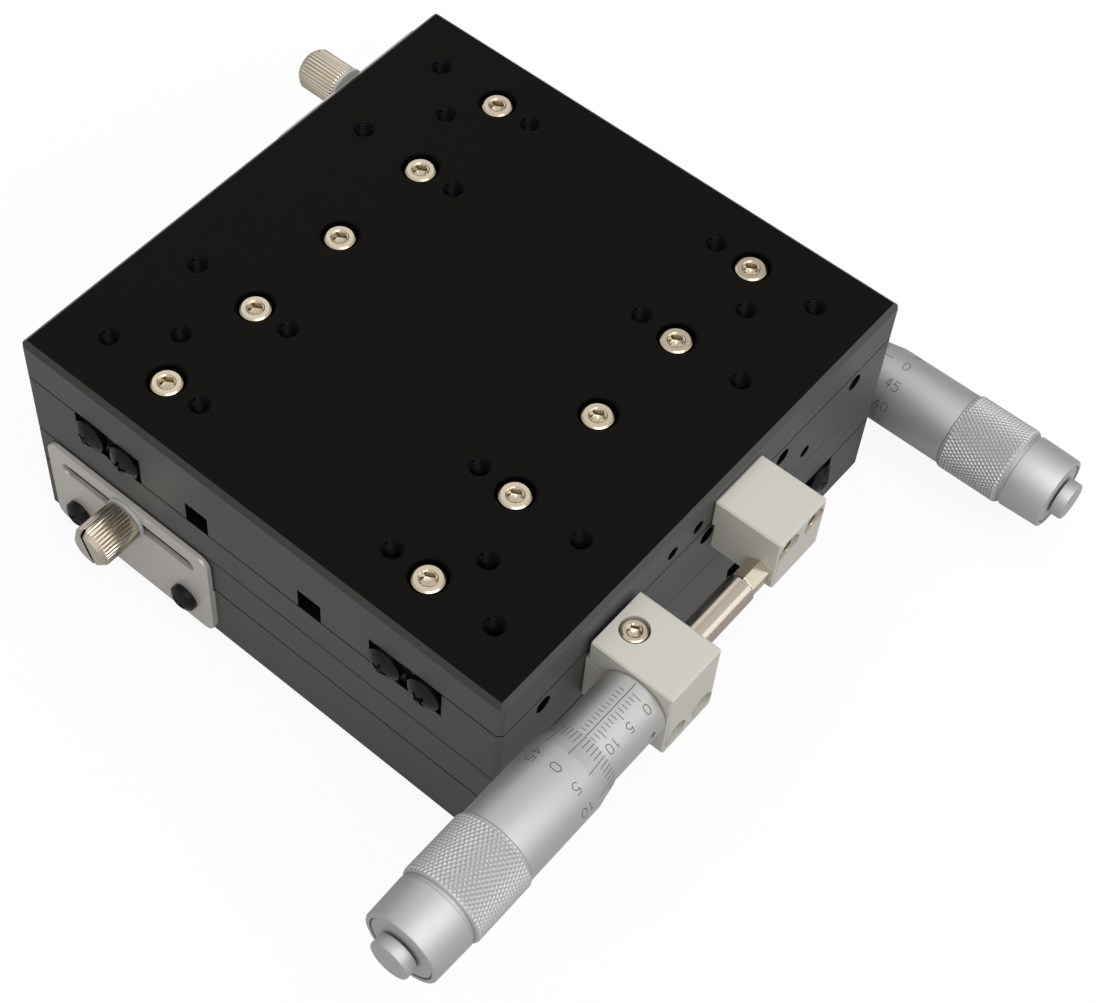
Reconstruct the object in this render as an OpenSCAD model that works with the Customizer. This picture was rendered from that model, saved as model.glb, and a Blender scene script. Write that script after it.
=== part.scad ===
// Two-axis crossed-roller stage: two equal sliding stages, one bolted on the other and turned
// a quarter turn, each driven by a micrometer head against a spring and locked by a thumb screw.
// The origin is the centre of the underside. The upper stage slides along Y, the lower along X.

/* [Stage plates] */
// Side of both square stages
stage_w = 125; // [104:1:150]
// Thickness of the base's floor
floor_t = 8.8; // [8.6:0.1:11]
// Thickness of the table's plate
table_t = 10.6; // [9.6:0.1:14]
// Thickness of a base's side walls behind the rails
wall_t = 14.1; // [13:0.1:16]
// Running gap between a base and its table
running_gap = 0.4; // [0.3:0.05:0.6]
// Chamfer of the vertical corners
corner_chamfer = 1.0; // [0.4:0.1:2]
// Chamfer round the top plate
top_chamfer = 1.1; // [0.4:0.1:1.6]
// Chamfer round the underside
foot_chamfer = 1.0; // [0.4:0.1:1.6]
// Chamfer on both sides of the seam where the two stages meet
seam_chamfer = 0.4; // [0.2:0.1:0.8]

/* [Travel] */
// Full travel of each table
travel = 25; // [18:1:25]

/* [Rails and rollers] */
// Width of one rail
rail_w = 8.3; // [8:0.1:9]
// Height of one rail
rail_h = 8; // [7.6:0.1:9]
// Gap between an inner and an outer rail
rail_gap = 1.4; // [1.2:0.1:1.8]
// Relief above the outer rails and below the inner ones
rail_relief = 0.3; // [0.2:0.05:0.5]
// Distance from a rail's end to the end face of the stage
rail_end_inset = 0.9; // [0.6:0.1:3]
// Distance from a rail's back to its row of screws
rail_screw_inset = 3.6; // [3.2:0.1:4.2]
// Bevel along a rail's edges
rail_bevel = 0.4; // [0.2:0.1:0.8]
// Diameter of a roller
roller_d = 3; // [2.6:0.1:3]
// Length of a roller
roller_l = 2.8; // [2.2:0.1:2.9]
// Running clearance round a roller
roller_clear = 0.05; // [0.03:0.01:0.08]
// Distance between rollers
roller_pitch = 5.5; // [4.5:0.1:5.6]
// Least gap between a cage and the rails' end screws at the end of the travel
cage_stop_gap = 1; // [0.5:0.1:3]
// Thickness of the cage strip
cage_t = 0.6; // [0.4:0.1:0.8]
// Height of the cage strip
cage_h = 6.5; // [6:0.1:7]
// Clearance of the cage's windows round a roller
cage_window_clear = 0.12; // [0.08:0.01:0.2]

/* [Hole patterns] */
// Distance between the rows of tapped holes in a table's top
hole_grid = 25; // [24:0.5:26]
// Distance of the inner columns of tapped holes from the boss's edge
inner_hole_inset = 5.4; // [5:0.1:7]
// Distance of the outer columns of tapped holes from the table's sides
outer_hole_inset = 12.5; // [11:0.5:14]
// Distance of the four diagonal holes from the table's edges
diagonal_hole_inset = 22.5; // [21:0.5:24]
// Depth of the tapped holes in a table's top
top_hole_depth = 8; // [6:0.5:9]
// Diameter of the countersinks of the tapped holes
countersink_d = 4.2; // [3.8:0.1:4.3]
// Distance between the screws of a rail
rail_screw_pitch = 25; // [22:0.5:26]
// Distance of the screws that join the stages from the upper stage's middle plane
join_screw_x = 20; // [19:0.5:23]
// Core diameter of the bench holes in the underside
bench_hole_d = 5; // [4.2:0.1:5.2]
// Depth of the bench holes
bench_hole_depth = 8; // [6:0.5:8.5]
// Chamfer at the mouths of the bench holes
bench_hole_chamfer = 0.5; // [0.2:0.1:1]

/* [M4 screws] */
// Shank diameter
m4_d = 4; // [3.8:0.1:4]
// Core diameter of the thread
m4_core_d = 3.2; // [3:0.05:3.3]
// Diameter of the cap head
m4_head_d = 7; // [6.6:0.1:7.2]
// Height of the cap head
m4_head_h = 4; // [3.6:0.1:4.2]
// Width across flats of the hex socket
m4_socket = 3; // [2.6:0.1:3.2]
// Length of the rail screws under the head
rail_screw_l = 12; // [11:0.5:12]
// Length of the screws that join the stages
join_screw_l = 10; // [8:0.5:11]
// Depth of the rail screws' heads below the top
head_sink = 0.7; // [0.4:0.1:1]
// Diameter of the pan heads at the rails' ends
pan_head_d = 7.8; // [7:0.1:7.9]
// Height of the pan heads at the rails' ends
pan_head_h = 3; // [2.4:0.1:3.4]
// Diameter of the pan heads on the lock plates
plate_head_d = 6.5; // [6:0.1:7.5]
// Height of the pan heads on the lock plates
plate_head_h = 2.5; // [2.4:0.1:3]
// Width of a blade of the cross recess
cross_w = 0.9; // [0.7:0.05:1.1]
// Length of a blade of the cross recess
cross_l = 4.2; // [3.6:0.1:4.8]
// Depth of the cross recess
cross_depth = 1.8; // [1.2:0.1:2]
// Length of the rail end screws under the head
end_screw_l = 6; // [4:0.5:6]
// Length of the lock plate's screws under the head
plate_screw_l = 8; // [6:0.5:8]
// Depth of the preload screws below the side face
preload_recess = 4.1; // [3:0.1:6]
// Width across flats of the preload screws' sockets
preload_socket = 2; // [1.6:0.1:2.2]
// Depth of the preload screws' sockets
preload_socket_depth = 3; // [2:0.5:4]
// Height of the preload screws above the middle of the rails
preload_rise = 0.5; // [-1:0.1:1]

/* [M3 screws] */
// Shank diameter
m3_d = 3; // [2.8:0.1:3]
// Core diameter of the thread
m3_core_d = 2.4; // [2.2:0.05:2.5]
// Diameter of the cap head
m3_head_d = 5.5; // [5.2:0.1:5.6]
// Height of the cap head
m3_head_h = 3; // [2.8:0.1:3.2]
// Width across flats of the hex socket
m3_socket = 2.5; // [2:0.1:2.5]
// Length of the micrometer block's screws under the head
block_screw_l = 12; // [10:0.5:12]
// Length of the clamp screw under the head
clamp_screw_l = 8; // [7:0.5:8]
// Length of the anvil block's screws under the head
anvil_screw_l = 20; // [18:0.5:20]

/* [Fits] */
// Radial clearance between a thread and its hole
thread_clear = 0.05; // [0.03:0.01:0.08]
// Radial clearance of a screw's shank in a plain hole
shank_clear = 0.2; // [0.1:0.05:0.25]
// Radial clearance of a cap head in its counterbore
head_clear = 0.5; // [0.3:0.05:0.6]
// Radial clearance of an M3 head in its counterbore
small_head_clear = 0.3; // [0.15:0.05:0.35]
// Depth of a hole past the tip of its screw
hole_spare = 1; // [0.5:0.1:1.5]
// Radial clearance of turning and sliding shafts
shaft_clear = 0.04; // [0.02:0.01:0.08]
// Gap at both ends of the spindle, where it meets the anvil pin and the drive screw
tip_gap = 0.02; // [0.01:0.01:0.05]

/* [Micrometer block] */
// Height of the spindle's axis above the base's underside
axis_z = 14; // [13.8:0.1:15]
// Distance of the spindle's axis from the side of the stage
axis_out = 12.25; // [12.2:0.05:13]
// Distance of the block's inner end from the middle of the stage
block_y = 23; // [22:0.5:25]
// Length of the block along the spindle
block_l = 15; // [14.5:0.5:17]
// Width of the block out from the stage
block_w = 20; // [20:0.5:24]
// Height of the block below the spindle's axis
block_drop = 12; // [11:0.5:12]
// Height of the block above the spindle's axis
block_rise = 8; // [7.5:0.5:10]
// Chamfer of the blocks' edges
block_chamfer = 0.4; // [0.2:0.1:0.8]
// Relief between a block and the other stage part
block_relief = 1; // [0.6:0.1:1.4]
// Width of the clamping slit
slit_w = 0.5; // [0.4:0.05:0.8]
// Height of the slit above the spindle's axis
slit_rise = 1.35; // [1:0.05:1.8]
// Distance of the clamp screw from the side of the stage
clamp_screw_out = 5.3; // [5:0.1:5.5]
// Depth of the clamp screw's head below the block's top
clamp_head_sink = 0.3; // [0.1:0.1:0.8]
// Distance between the block's two screws
block_screw_pitch = 8; // [7.6:0.1:8.2]
// Height of the block's screws above the base's underside
block_screw_z = 5.6; // [5.4:0.1:5.8]
// Thickness of the block under the heads of its screws
block_screw_web = 6; // [5:0.5:7]

/* [Anvil block] */
// Distance of the anvil block's near face from the middle of the stage
anvil_y = 0.5; // [0:0.5:4]
// Length of the anvil block along the spindle
anvil_l = 15; // [14.5:0.5:17]
// Width of the anvil block out from the stage
anvil_w = 15.8; // [15.6:0.1:19]
// Height of the anvil block above the table's underside
anvil_rise = 7.6; // [6.6:0.1:9]
// Height of the anvil block below the spindle's axis
anvil_drop = 4; // [3.5:0.1:5]
// Distance between the anvil block's two screws
anvil_screw_pitch = 8; // [7.6:0.1:8.4]
// Height of the anvil block's screws above the table's underside
anvil_screw_rise = 3.6; // [3.4:0.1:4.2]
// Depth of the heads of these screws below the block's face
anvil_head_sink = 0.4; // [0.2:0.1:0.8]
// Width across flats of the anvil pin's hex head
anvil_pin_flats = 5; // [4.5:0.1:5.5]
// Length of the anvil pin's hex head
anvil_pin_head_l = 5.9; // [4:0.1:7]
// Length of the anvil pin's threaded shank
anvil_pin_shank_l = 8; // [5:0.5:10]

/* [Micrometer head] */
// Diameter of the spindle
spindle_d = 6.35; // [6:0.05:6.5]
// Diameter of the stem held by the block
stem_d = 9.52; // [9:0.02:9.6]
// Diameter of the sleeve that carries the scale
sleeve_d = 14.8; // [14.4:0.1:15]
// Length of the sleeve from the block's outer end
sleeve_l = 32; // [31:0.5:34]
// Distance from the block to the zero line of the scale
scale_start = 3.1; // [2.6:0.1:4]
// Diameter of the chamber inside the sleeve
chamber_d = 10; // [9.6:0.1:11]
// Thickness of the sleeve's end wall behind the block
sleeve_wall = 2; // [1.5:0.1:3]
// Length of the sleeve nut
nut_l = 14; // [12:0.5:16]
// Core diameter of the drive screw's thread
drive_d = 7.8; // [7.2:0.1:8]
// Diameter of the spindle's tail inside the drive screw
tail_d = 4; // [3:0.1:4.5]
// Length of the spindle's tail
tail_l = 8; // [5:0.5:10]
// Free length left at both ends of the travel inside the head
end_float = 1.5; // [1:0.1:2.5]
// Diameter of the spanner hole in the sleeve
spanner_hole_d = 1.5; // [1:0.1:2]
// Depth of the spanner hole
spanner_hole_depth = 1.2; // [0.8:0.1:1.6]
// Distance of the spanner hole from the block
spanner_hole_out = 4.2; // [3:0.1:5]
// Angle of the spanner hole above the level
spanner_hole_angle = 7; // [0:1:30]
// Clearance between the sleeve and the thimble's bore
thimble_clear = 0.1; // [0.06:0.01:0.2]
// Thickness of the thimble's front edge
thimble_lip = 0.1; // [0.08:0.01:0.3]
// Length of the thimble's bevel
bevel_l = 5; // [4:0.1:6]
// Diameter of the thimble's plain part
thimble_d = 17.1; // [16.6:0.1:18]
// Diameter of the thimble's grip
grip_d = 18; // [17.6:0.1:19]
// Length of the thimble's grip
grip_l = 15.1; // [14:0.1:18]
// Length of the grip past the thimble's inner wall
cap_socket_l = 5.3; // [4:0.1:7]
// Chamfer at both ends of the grip
grip_chamfer = 0.5; // [0.2:0.1:0.8]
// Length of the neck between grip and cap
neck_l = 0.8; // [0.5:0.1:1.2]
// Diameter of the neck between grip and cap
neck_d = 16.2; // [15.6:0.1:16.8]
// Thickness of the thimble's inner wall
thimble_web = 4; // [3:0.1:5]
// Diameter of the drive screw's rear end
drive_neck_d = 6; // [5:0.1:6.4]
// Diameter of the cap's spigot in the thimble
spigot_d = 13; // [11:0.1:14]
// Length of the end cap
cap_l = 9.5; // [9:0.1:11]
// Diameter of the cap next to the grip
cap_front_d = 17; // [16.6:0.1:17.6]
// Diameter of the cap at its end
cap_back_d = 16.5; // [16:0.1:17]
// Width of the cap's rim
cap_rim_w = 1; // [0.6:0.1:1.4]
// Width of the groove inside the rim
cap_groove_w = 0.9; // [0.5:0.1:1.2]
// Depth of the groove inside the rim
cap_groove_depth = 0.9; // [0.5:0.1:1.4]
// Chamfer of the cap's rim
cap_chamfer = 0.5; // [0.2:0.1:0.8]
// Diameter of the ratchet button
button_d = 8.7; // [7:0.1:10]
// Height of the ratchet button
button_h = 2.7; // [2:0.1:4]
// Gap between the cap and the ratchet button
button_gap = 0.4; // [0.2:0.05:0.6]
// Chamfer of the ratchet button
button_chamfer = 0.5; // [0.2:0.1:0.8]
// Diameter of the ratchet button's shaft
button_shaft_d = 3; // [2.4:0.1:3.6]
// Length of the ratchet button's shaft
button_shaft_l = 7; // [5:0.5:8]

/* [Lock] */
// Thickness of the lock plate
plate_t = 1.5; // [1.2:0.1:1.8]
// Relief behind the lock plate where it passes the table
plate_relief = 0.3; // [0.2:0.05:0.4]
// Metal left past each end of the lock plate's slot
slot_end_web = 4.1; // [3:0.1:6]
// Height of the lock plate's lower edge above the underside
plate_z = 2; // [1.5:0.1:3]
// Distance of the lower lock plate's upper edge below the table's top
plate_top_drop = 0.2; // [0:0.1:2]
// Distance of the upper lock plate's upper edge below the table's top
upper_plate_top_drop = 2.8; // [2:0.1:2.9]
// Radius of the lock plate's corners
plate_r = 2.75; // [1.5:0.25:4]
// Distance of the lock plate's end from the end of the stage
plate_end_inset = 4.5; // [3:0.5:6]
// Height of the lock screw above the table's underside
lock_rise = 5.1; // [4.5:0.1:5.5]
// Free travel of the lock screw in its slot past each end of the travel
slot_spare = 4.9; // [1:0.1:5]
// Clearance on each side of the lock screw in its slot
slot_clear = 0.2; // [0.15:0.05:0.4]
// Distance of the lock plate's screws from its ends
plate_screw_inset = 7.5; // [7:0.1:8]
// Height of the lock plate's screws above the underside
plate_screw_z = 8.75; // [8.5:0.05:9]
// Diameter of the white washer
washer_d = 10; // [9:0.5:11]
// Thickness of the white washer
washer_t = 0.8; // [0.5:0.1:1.4]
// Diameter of the lock knob
knob_d = 9.6; // [8.6:0.1:10]
// Length of the lock knob
knob_l = 10.2; // [8:0.1:12]
// Bevel at the knob's end
knob_bevel = 1; // [0.4:0.1:1.4]
// Grooves round the lock knob
knob_grooves = 36; // [24:2:40]
// Depth of these grooves
knob_groove_depth = 0.3; // [0.2:0.05:0.4]
// Width of the screwdriver slot in the knob's end
knob_slot_w = 1.2; // [0.8:0.1:1.4]
// Depth of the screwdriver slot in the knob's end
knob_slot_depth = 1.6; // [1:0.1:2]
// Length of the lock screw in the table
lock_screw_l = 7; // [5:0.5:8]

/* [Return springs] */
// Distance of the springs from the middle of the stage
spring_x = 15; // [14:0.5:16]
// Width of the spring grooves in the table's boss
spring_groove_w = 6; // [5.6:0.1:7]
// Depth of the spring grooves
spring_groove_h = 5.6; // [5.2:0.1:6]
// Outer diameter of the springs
spring_d = 4.6; // [4:0.1:5]
// Thickness of the springs' wire
spring_wire = 0.6; // [0.4:0.1:0.8]
// Distance of the spring pins from the ends of the stage
spring_pin_inset = 18.5; // [18:0.5:22]
// Diameter of the spring pins
spring_pin_d = 2; // [1.6:0.1:2.4]
// Depth of a spring pin in its plate
spring_pin_hold = 4.6; // [4:0.1:5]
// Clearance of a spring's loop round its pin
spring_loop_clear = 0.2; // [0.1:0.05:0.3]

/* [Hidden] */
$fn = 48;
eps = 0.01;
// How far a cut runs past the face it opens
over = 1;

// Heights in one stage, from its underside
half_w = stage_w / 2;
rail_z0 = floor_t + rail_relief;
rail_z1 = rail_z0 + rail_h;
rail_mid_z = rail_z0 + rail_h / 2;
table_z0 = rail_z1 + rail_relief;
wall_z1 = table_z0 - running_gap;
boss_z0 = floor_t + running_gap;
stage_h = table_z0 + table_t;
pan_dome_share = 0.75;

// Screw holes
m4_tap_d = m4_core_d + 2 * thread_clear;
m4_hole_d = m4_d + 2 * shank_clear;
m4_bore_d = m4_head_d + 2 * head_clear;
m3_tap_d = m3_core_d + 2 * thread_clear;
m3_hole_d = m3_d + 2 * shank_clear;
m3_bore_d = m3_head_d + 2 * small_head_clear;
table_seat_z = stage_h - head_sink - m4_head_h;
base_seat_z = rail_z1 - hole_spare / 2 - rail_screw_l;
join_seat_z = floor_t - m4_head_h - rail_relief;

// Rails and rollers across one stage
outer_rail_x1 = half_w - wall_t;
outer_rail_x0 = outer_rail_x1 - rail_w;
inner_rail_x1 = outer_rail_x0 - rail_gap;
inner_rail_x0 = inner_rail_x1 - rail_w;
roller_x = (inner_rail_x1 + outer_rail_x0) / 2;
rail_l = stage_w - 2 * rail_end_inset;
tunnel_side = roller_d + 2 * roller_clear;
cage_room = rail_l / 2 - travel / 4 - cage_stop_gap - roller_d;
roller_count = 2 * floor(cage_room / roller_pitch) + 1;
cage_l = (roller_count - 1) * roller_pitch + 2 * roller_d;

// Rows of screws and holes along one stage, clear of the rails' end screws
table_rail_screw_x = inner_rail_x0 + rail_screw_inset;
base_rail_screw_x = outer_rail_x1 - rail_screw_inset;
rail_screw_room = rail_l / 2 - end_screw_l - hole_spare - m4_hole_d / 2;
rail_screws_out = floor(rail_screw_room / rail_screw_pitch);
rail_screw_span = rail_screws_out * rail_screw_pitch;
rail_screw_ys = [-rail_screw_span : rail_screw_pitch : rail_screw_span];
preload_z = rail_mid_z + preload_rise;
preload_screw_l = wall_t - preload_recess;
inner_hole_x = inner_rail_x0 - inner_hole_inset;
outer_hole_x = half_w - outer_hole_inset;
diagonal_hole = half_w - diagonal_hole_inset;
hole_rows = floor((half_w - countersink_d - top_chamfer) / hole_grid);
bench_hole_y = (hole_rows - 0.5) * hole_grid;
bench_mouth_d = bench_hole_d + 2 * bench_hole_chamfer;

// Micrometer head: stations are distances from the middle of the stage towards the thimble
axis_x = half_w + axis_out;
block_s1 = block_y + block_l;
block_mid_s = block_y + block_l / 2;
sleeve_s1 = block_s1 + sleeve_l;
chamber_s0 = block_s1 + sleeve_wall;
anvil_tip_s = anvil_pin_head_l - anvil_y;
spindle_s0 = anvil_tip_s + tip_gap;
drive_s0 = chamber_s0 + end_float + travel / 2;
thimble_s0 = block_s1 + scale_start + travel / 2;
plain_s0 = thimble_s0 + bevel_l;
web_s0 = sleeve_s1 + travel / 2 + end_float;
web_s1 = web_s0 + thimble_web;
grip_s1 = web_s1 + cap_socket_l;
grip_s0 = grip_s1 - grip_l;
cap_s0 = grip_s1 + neck_l;
cap_s1 = cap_s0 + cap_l;
spigot_s0 = web_s1 + end_float / 3;
thimble_bore_d = sleeve_d + 2 * thimble_clear;
thimble_front_d = thimble_bore_d + 2 * thimble_lip;
button_s0 = cap_s1 + button_gap;
slit_z = axis_z + slit_rise;
block_bore_d = stem_d;

// Lock
lock_z = table_z0 + lock_rise;
plate_x1 = half_w + plate_t;
slot_w = m3_d + 2 * slot_clear;
slot_half = travel / 2 + slot_spare + m3_d / 2 - slot_w / 2;
plate_w = 2 * slot_half + slot_w + 2 * slot_end_web;
plate_screw_pitch = plate_w - 2 * plate_screw_inset;
lock_y = half_w - plate_end_inset - plate_w / 2;
knob_x0 = plate_x1 + washer_t;

// Springs
groove_z1 = boss_z0 + spring_groove_h;
spring_z = (floor_t + groove_z1) / 2;
spring_pin_y = half_w - spring_pin_inset;
spring_pin_reach = spring_wire * 2 + spring_d / 4;
loop_ring_r = spring_pin_d / 2 + spring_loop_clear + spring_wire / 2;
coil_half = spring_pin_y - loop_ring_r - spring_wire / 4;

// Puts a stage's piece in its place: the lower stage is turned a quarter turn, the upper raised
module on_stage(which) {
  if (which == "lower") {
    rotate([0, 0, 90]) children();
  } else {
    translate([0, 0, stage_h]) children();
  }
}

// Extrudes an outline of x and z along Y
module along_y(length) {
  rotate([90, 0, 0]) linear_extrude(height = length, center = true) children();
}

// Extrudes an outline of y and z along X
module along_x(length) {
  rotate([90, 0, 90]) linear_extrude(height = length, center = true) children();
}

// Places a piece drawn along +Z on the spindle's axis, pointing towards the thimble
module on_axis(station) {
  translate([axis_x, -station, axis_z]) rotate([90, 0, 0]) children();
}

// A square outline with cut corners
module cut_square(side, cut) {
  h = side / 2;
  polygon([
    [-h + cut, -h], [h - cut, -h], [h, -h + cut], [h, h - cut],
    [h - cut, h], [-h + cut, h], [-h, h - cut], [-h, -h + cut]
  ]);
}

// A side outline with the two lower corners cut by low and the two upper ones by high
module side_outline(side, z0, z1, low, high) {
  h = side / 2;
  polygon([
    [-h + low, z0], [h - low, z0], [h, z0 + low], [h, z1 - high],
    [h - high, z1], [-h + high, z1], [-h, z1 - high], [-h, z0 + low]
  ]);
}

// A box between two corners with every edge chamfered
module chamfered_box(low, high, cut) {
  size = high - low;
  mid = (high + low) / 2;
  translate(mid) intersection() {
    linear_extrude(height = size.z, center = true) cut_rectangle(size.x, size.y, cut);
    rotate([90, 0, 0]) linear_extrude(height = size.y, center = true) {
      cut_rectangle(size.x, size.z, cut);
    }
    rotate([90, 0, 90]) linear_extrude(height = size.x, center = true) {
      cut_rectangle(size.y, size.z, cut);
    }
  }
}

// A rectangle with cut corners
module cut_rectangle(w, h, cut) {
  polygon([
    [-w / 2 + cut, -h / 2], [w / 2 - cut, -h / 2], [w / 2, -h / 2 + cut],
    [w / 2, h / 2 - cut], [w / 2 - cut, h / 2], [-w / 2 + cut, h / 2],
    [-w / 2, h / 2 - cut], [-w / 2, -h / 2 + cut]
  ]);
}

// A hole from z0 up to z1
module hole(d, z0, z1) {
  translate([0, 0, z0]) cylinder(d = d, h = z1 - z0);
}

// A hole in the side at +X, from x0 out to x1, at y and z
module side_hole(d, x0, x1, y, z) {
  translate([x0, y, z]) rotate([0, 90, 0]) cylinder(d = d, h = x1 - x0);
}

// Both signs of x and y
module four(x, y) {
  for (sx = [-1, 1], sy = [-1, 1]) translate([sx * x, sy * y, 0]) children();
}

// A cap screw with its seat at the origin, its head up and its shank down
module cap_screw(d, core_d, head_d, head_h, shank_l, length, socket) {
  difference() {
    union() {
      cylinder(d = head_d, h = head_h);
      translate([0, 0, -shank_l]) cylinder(d = d, h = shank_l);
      translate([0, 0, -length]) cylinder(d = core_d, h = length - shank_l);
    }
    translate([0, 0, head_h / 2]) hex_bar(socket, head_h / 2 + eps);
  }
}

// A hexagonal bar along +Z with a corner towards +Y
module hex_bar(flats, length) {
  rotate([0, 0, 30]) cylinder(d = flats / cos(30), h = length, $fn = 6);
}

module m4_cap_screw(shank_l, length) {
  cap_screw(m4_d, m4_core_d, m4_head_d, m4_head_h, shank_l, length, m4_socket);
}

module m3_cap_screw(shank_l, length) {
  cap_screw(m3_d, m3_core_d, m3_head_d, m3_head_h, shank_l, length, m3_socket);
}

// A pan-head screw with a cross recess, its seat at the origin and its head up
module pan_screw(head_d, head_h, shank_l, length) {
  dome_r = head_d * pan_dome_share;
  difference() {
    union() {
      intersection() {
        cylinder(d = head_d, h = head_h);
        translate([0, 0, head_h - dome_r]) sphere(r = dome_r);
      }
      if (shank_l > 0) {
        translate([0, 0, -shank_l]) cylinder(d = m4_d, h = shank_l);
      }
      translate([0, 0, -length]) cylinder(d = m4_core_d, h = length - shank_l);
    }
    for (turn = [0, 90]) rotate([0, 0, turn]) {
      translate([-cross_l / 2, -cross_w / 2, head_h - cross_depth]) {
        cube([cross_l, cross_w, head_h]);
      }
    }
  }
}

// The U-shaped base: floor, two side walls, rail seats and its holes
module stage_base(is_lower) {
  low_cut = is_lower ? foot_chamfer : seam_chamfer;
  color([0.34, 0.34, 0.36]) difference() {
    intersection() {
      along_y(stage_w) side_outline(stage_w, 0, wall_z1, low_cut, 0);
      along_x(stage_w) side_outline(stage_w, 0, wall_z1, low_cut, 0);
      linear_extrude(height = wall_z1) cut_square(stage_w, corner_chamfer);
    }
    channel_w = 2 * outer_rail_x1;
    along_y(stage_w + over) union() {
      translate([-outer_rail_x0, floor_t]) square([2 * outer_rail_x0, wall_z1]);
      translate([-outer_rail_x1, rail_z0]) square([channel_w, wall_z1]);
    }
    for (y = rail_screw_ys, side = [-1, 1]) translate([side * base_rail_screw_x, y, 0]) {
      hole(m4_hole_d, -over, rail_z0 + over);
      hole(m4_bore_d, -over, base_seat_z);
    }
    for (y = rail_screw_ys) {
      side_hole(m4_tap_d, outer_rail_x1 - over, half_w + over, y, preload_z);
    }
    for (end = [-1, 1], screw = [-0.5, 0.5]) {
      y = end * block_mid_s + screw * block_screw_pitch;
      x0 = half_w + block_screw_web - block_screw_l - hole_spare;
      side_hole(m3_tap_d, x0, half_w + over, y, block_screw_z);
    }
    mirror([1, 0, 0]) for (screw = [-0.5, 0.5]) {
      x0 = half_w - plate_screw_l;
      side_hole(m4_tap_d, x0, half_w + over, lock_y + screw * plate_screw_pitch, plate_screw_z);
    }
    for (side = [-1, 1]) translate([side * spring_x, -spring_pin_y, 0]) {
      hole(spring_pin_d, floor_t - spring_pin_hold, floor_t + over);
    }
    if (is_lower) {
      four(outer_hole_x, bench_hole_y) {
        hole(bench_hole_d, -over, bench_hole_depth);
        translate([0, 0, -eps]) {
          cylinder(d1 = bench_mouth_d, d2 = bench_hole_d, h = bench_hole_chamfer);
        }
      }
    } else {
      four(join_screw_x, outer_hole_x) {
        hole(m4_hole_d, -over, floor_t + over);
        hole(m4_bore_d, join_seat_z, floor_t + over);
      }
    }
  }
}

// The T-shaped table: plate, boss with its spring grooves, rail seats and its holes
module stage_table(is_lower) {
  high_cut = is_lower ? seam_chamfer : top_chamfer;
  tap_z0 = stage_h - top_hole_depth;
  sink_h = (countersink_d - m4_tap_d) / 2;
  color([0.12, 0.12, 0.12]) difference() {
    intersection() {
      along_y(stage_w) side_outline(stage_w, boss_z0, stage_h, 0, high_cut);
      along_x(stage_w) side_outline(stage_w, boss_z0, stage_h, 0, high_cut);
      linear_extrude(height = stage_h) cut_square(stage_w, corner_chamfer);
    }
    for (side = [0, 1]) mirror([side, 0, 0]) along_y(stage_w + over) union() {
      translate([inner_rail_x0, 0]) square([half_w, rail_z1]);
      translate([inner_rail_x1, 0]) square([half_w, table_z0]);
      translate([spring_x - spring_groove_w / 2, 0]) square([spring_groove_w, groove_z1]);
    }
    if (is_lower) {
      four(outer_hole_x, join_screw_x) tapped_top_hole(tap_z0, sink_h);
    } else {
      for (x = [inner_hole_x, outer_hole_x], row = [1 : hole_rows]) four(x, row * hole_grid) {
        tapped_top_hole(tap_z0, sink_h);
      }
      four(diagonal_hole, diagonal_hole) tapped_top_hole(tap_z0, sink_h);
    }
    for (y = rail_screw_ys, side = [-1, 1]) translate([side * table_rail_screw_x, y, 0]) {
      hole(m4_hole_d, rail_z1 - over, stage_h + over);
      hole(m4_bore_d, table_seat_z, stage_h + over);
      translate([0, 0, stage_h - sink_h / 2]) {
        cylinder(d1 = m4_bore_d, d2 = m4_bore_d + sink_h + 2 * eps, h = sink_h / 2 + eps);
      }
    }
    for (end = [-1, 1], screw = [-0.5, 0.5]) {
      y = end * (anvil_y + anvil_l / 2) + screw * anvil_screw_pitch;
      x0 = half_w + anvil_w - anvil_head_sink - m3_head_h - anvil_screw_l - hole_spare;
      side_hole(m3_tap_d, x0, half_w + over, y, table_z0 + anvil_screw_rise);
    }
    mirror([1, 0, 0]) {
      side_hole(m3_tap_d, half_w - lock_screw_l - hole_spare, half_w + over, lock_y, lock_z);
    }
    for (side = [-1, 1]) translate([side * spring_x, spring_pin_y, 0]) {
      hole(spring_pin_d, groove_z1 - over, groove_z1 + spring_pin_hold);
    }
  }
}

module tapped_top_hole(z0, sink_h) {
  hole(m4_tap_d, z0, stage_h + over);
  translate([0, 0, stage_h - sink_h]) {
    cylinder(d1 = m4_tap_d, d2 = countersink_d + 2 * eps, h = sink_h + eps);
  }
}

// One rail with its back at x = 0 and its roller groove facing +X
module rail() {
  groove_x = rail_w + rail_gap / 2;
  difference() {
    translate([rail_w / 2, 0, rail_mid_z]) along_y(rail_l) cut_rectangle(rail_w, rail_h, rail_bevel);
    translate([groove_x, 0, rail_mid_z]) rotate([0, 45, 0]) {
      cube([tunnel_side, rail_l + over, tunnel_side], center = true);
    }
    for (y = rail_screw_ys) translate([rail_screw_inset, y, 0]) {
      hole(m4_tap_d, rail_z0 - over, rail_z1 + over);
    }
    for (end = [0, 1]) mirror([0, end, 0]) translate([rail_w / 2, rail_l / 2 + over, rail_mid_z]) {
      rotate([90, 0, 0]) cylinder(d = m4_tap_d, h = end_screw_l + hole_spare + over);
    }
  }
}

module base_rails() {
  color([0.62, 0.62, 0.63]) for (side = [0, 1]) mirror([side, 0, 0]) {
    translate([outer_rail_x1, 0, 0]) mirror([1, 0, 0]) rail();
  }
}

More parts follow.
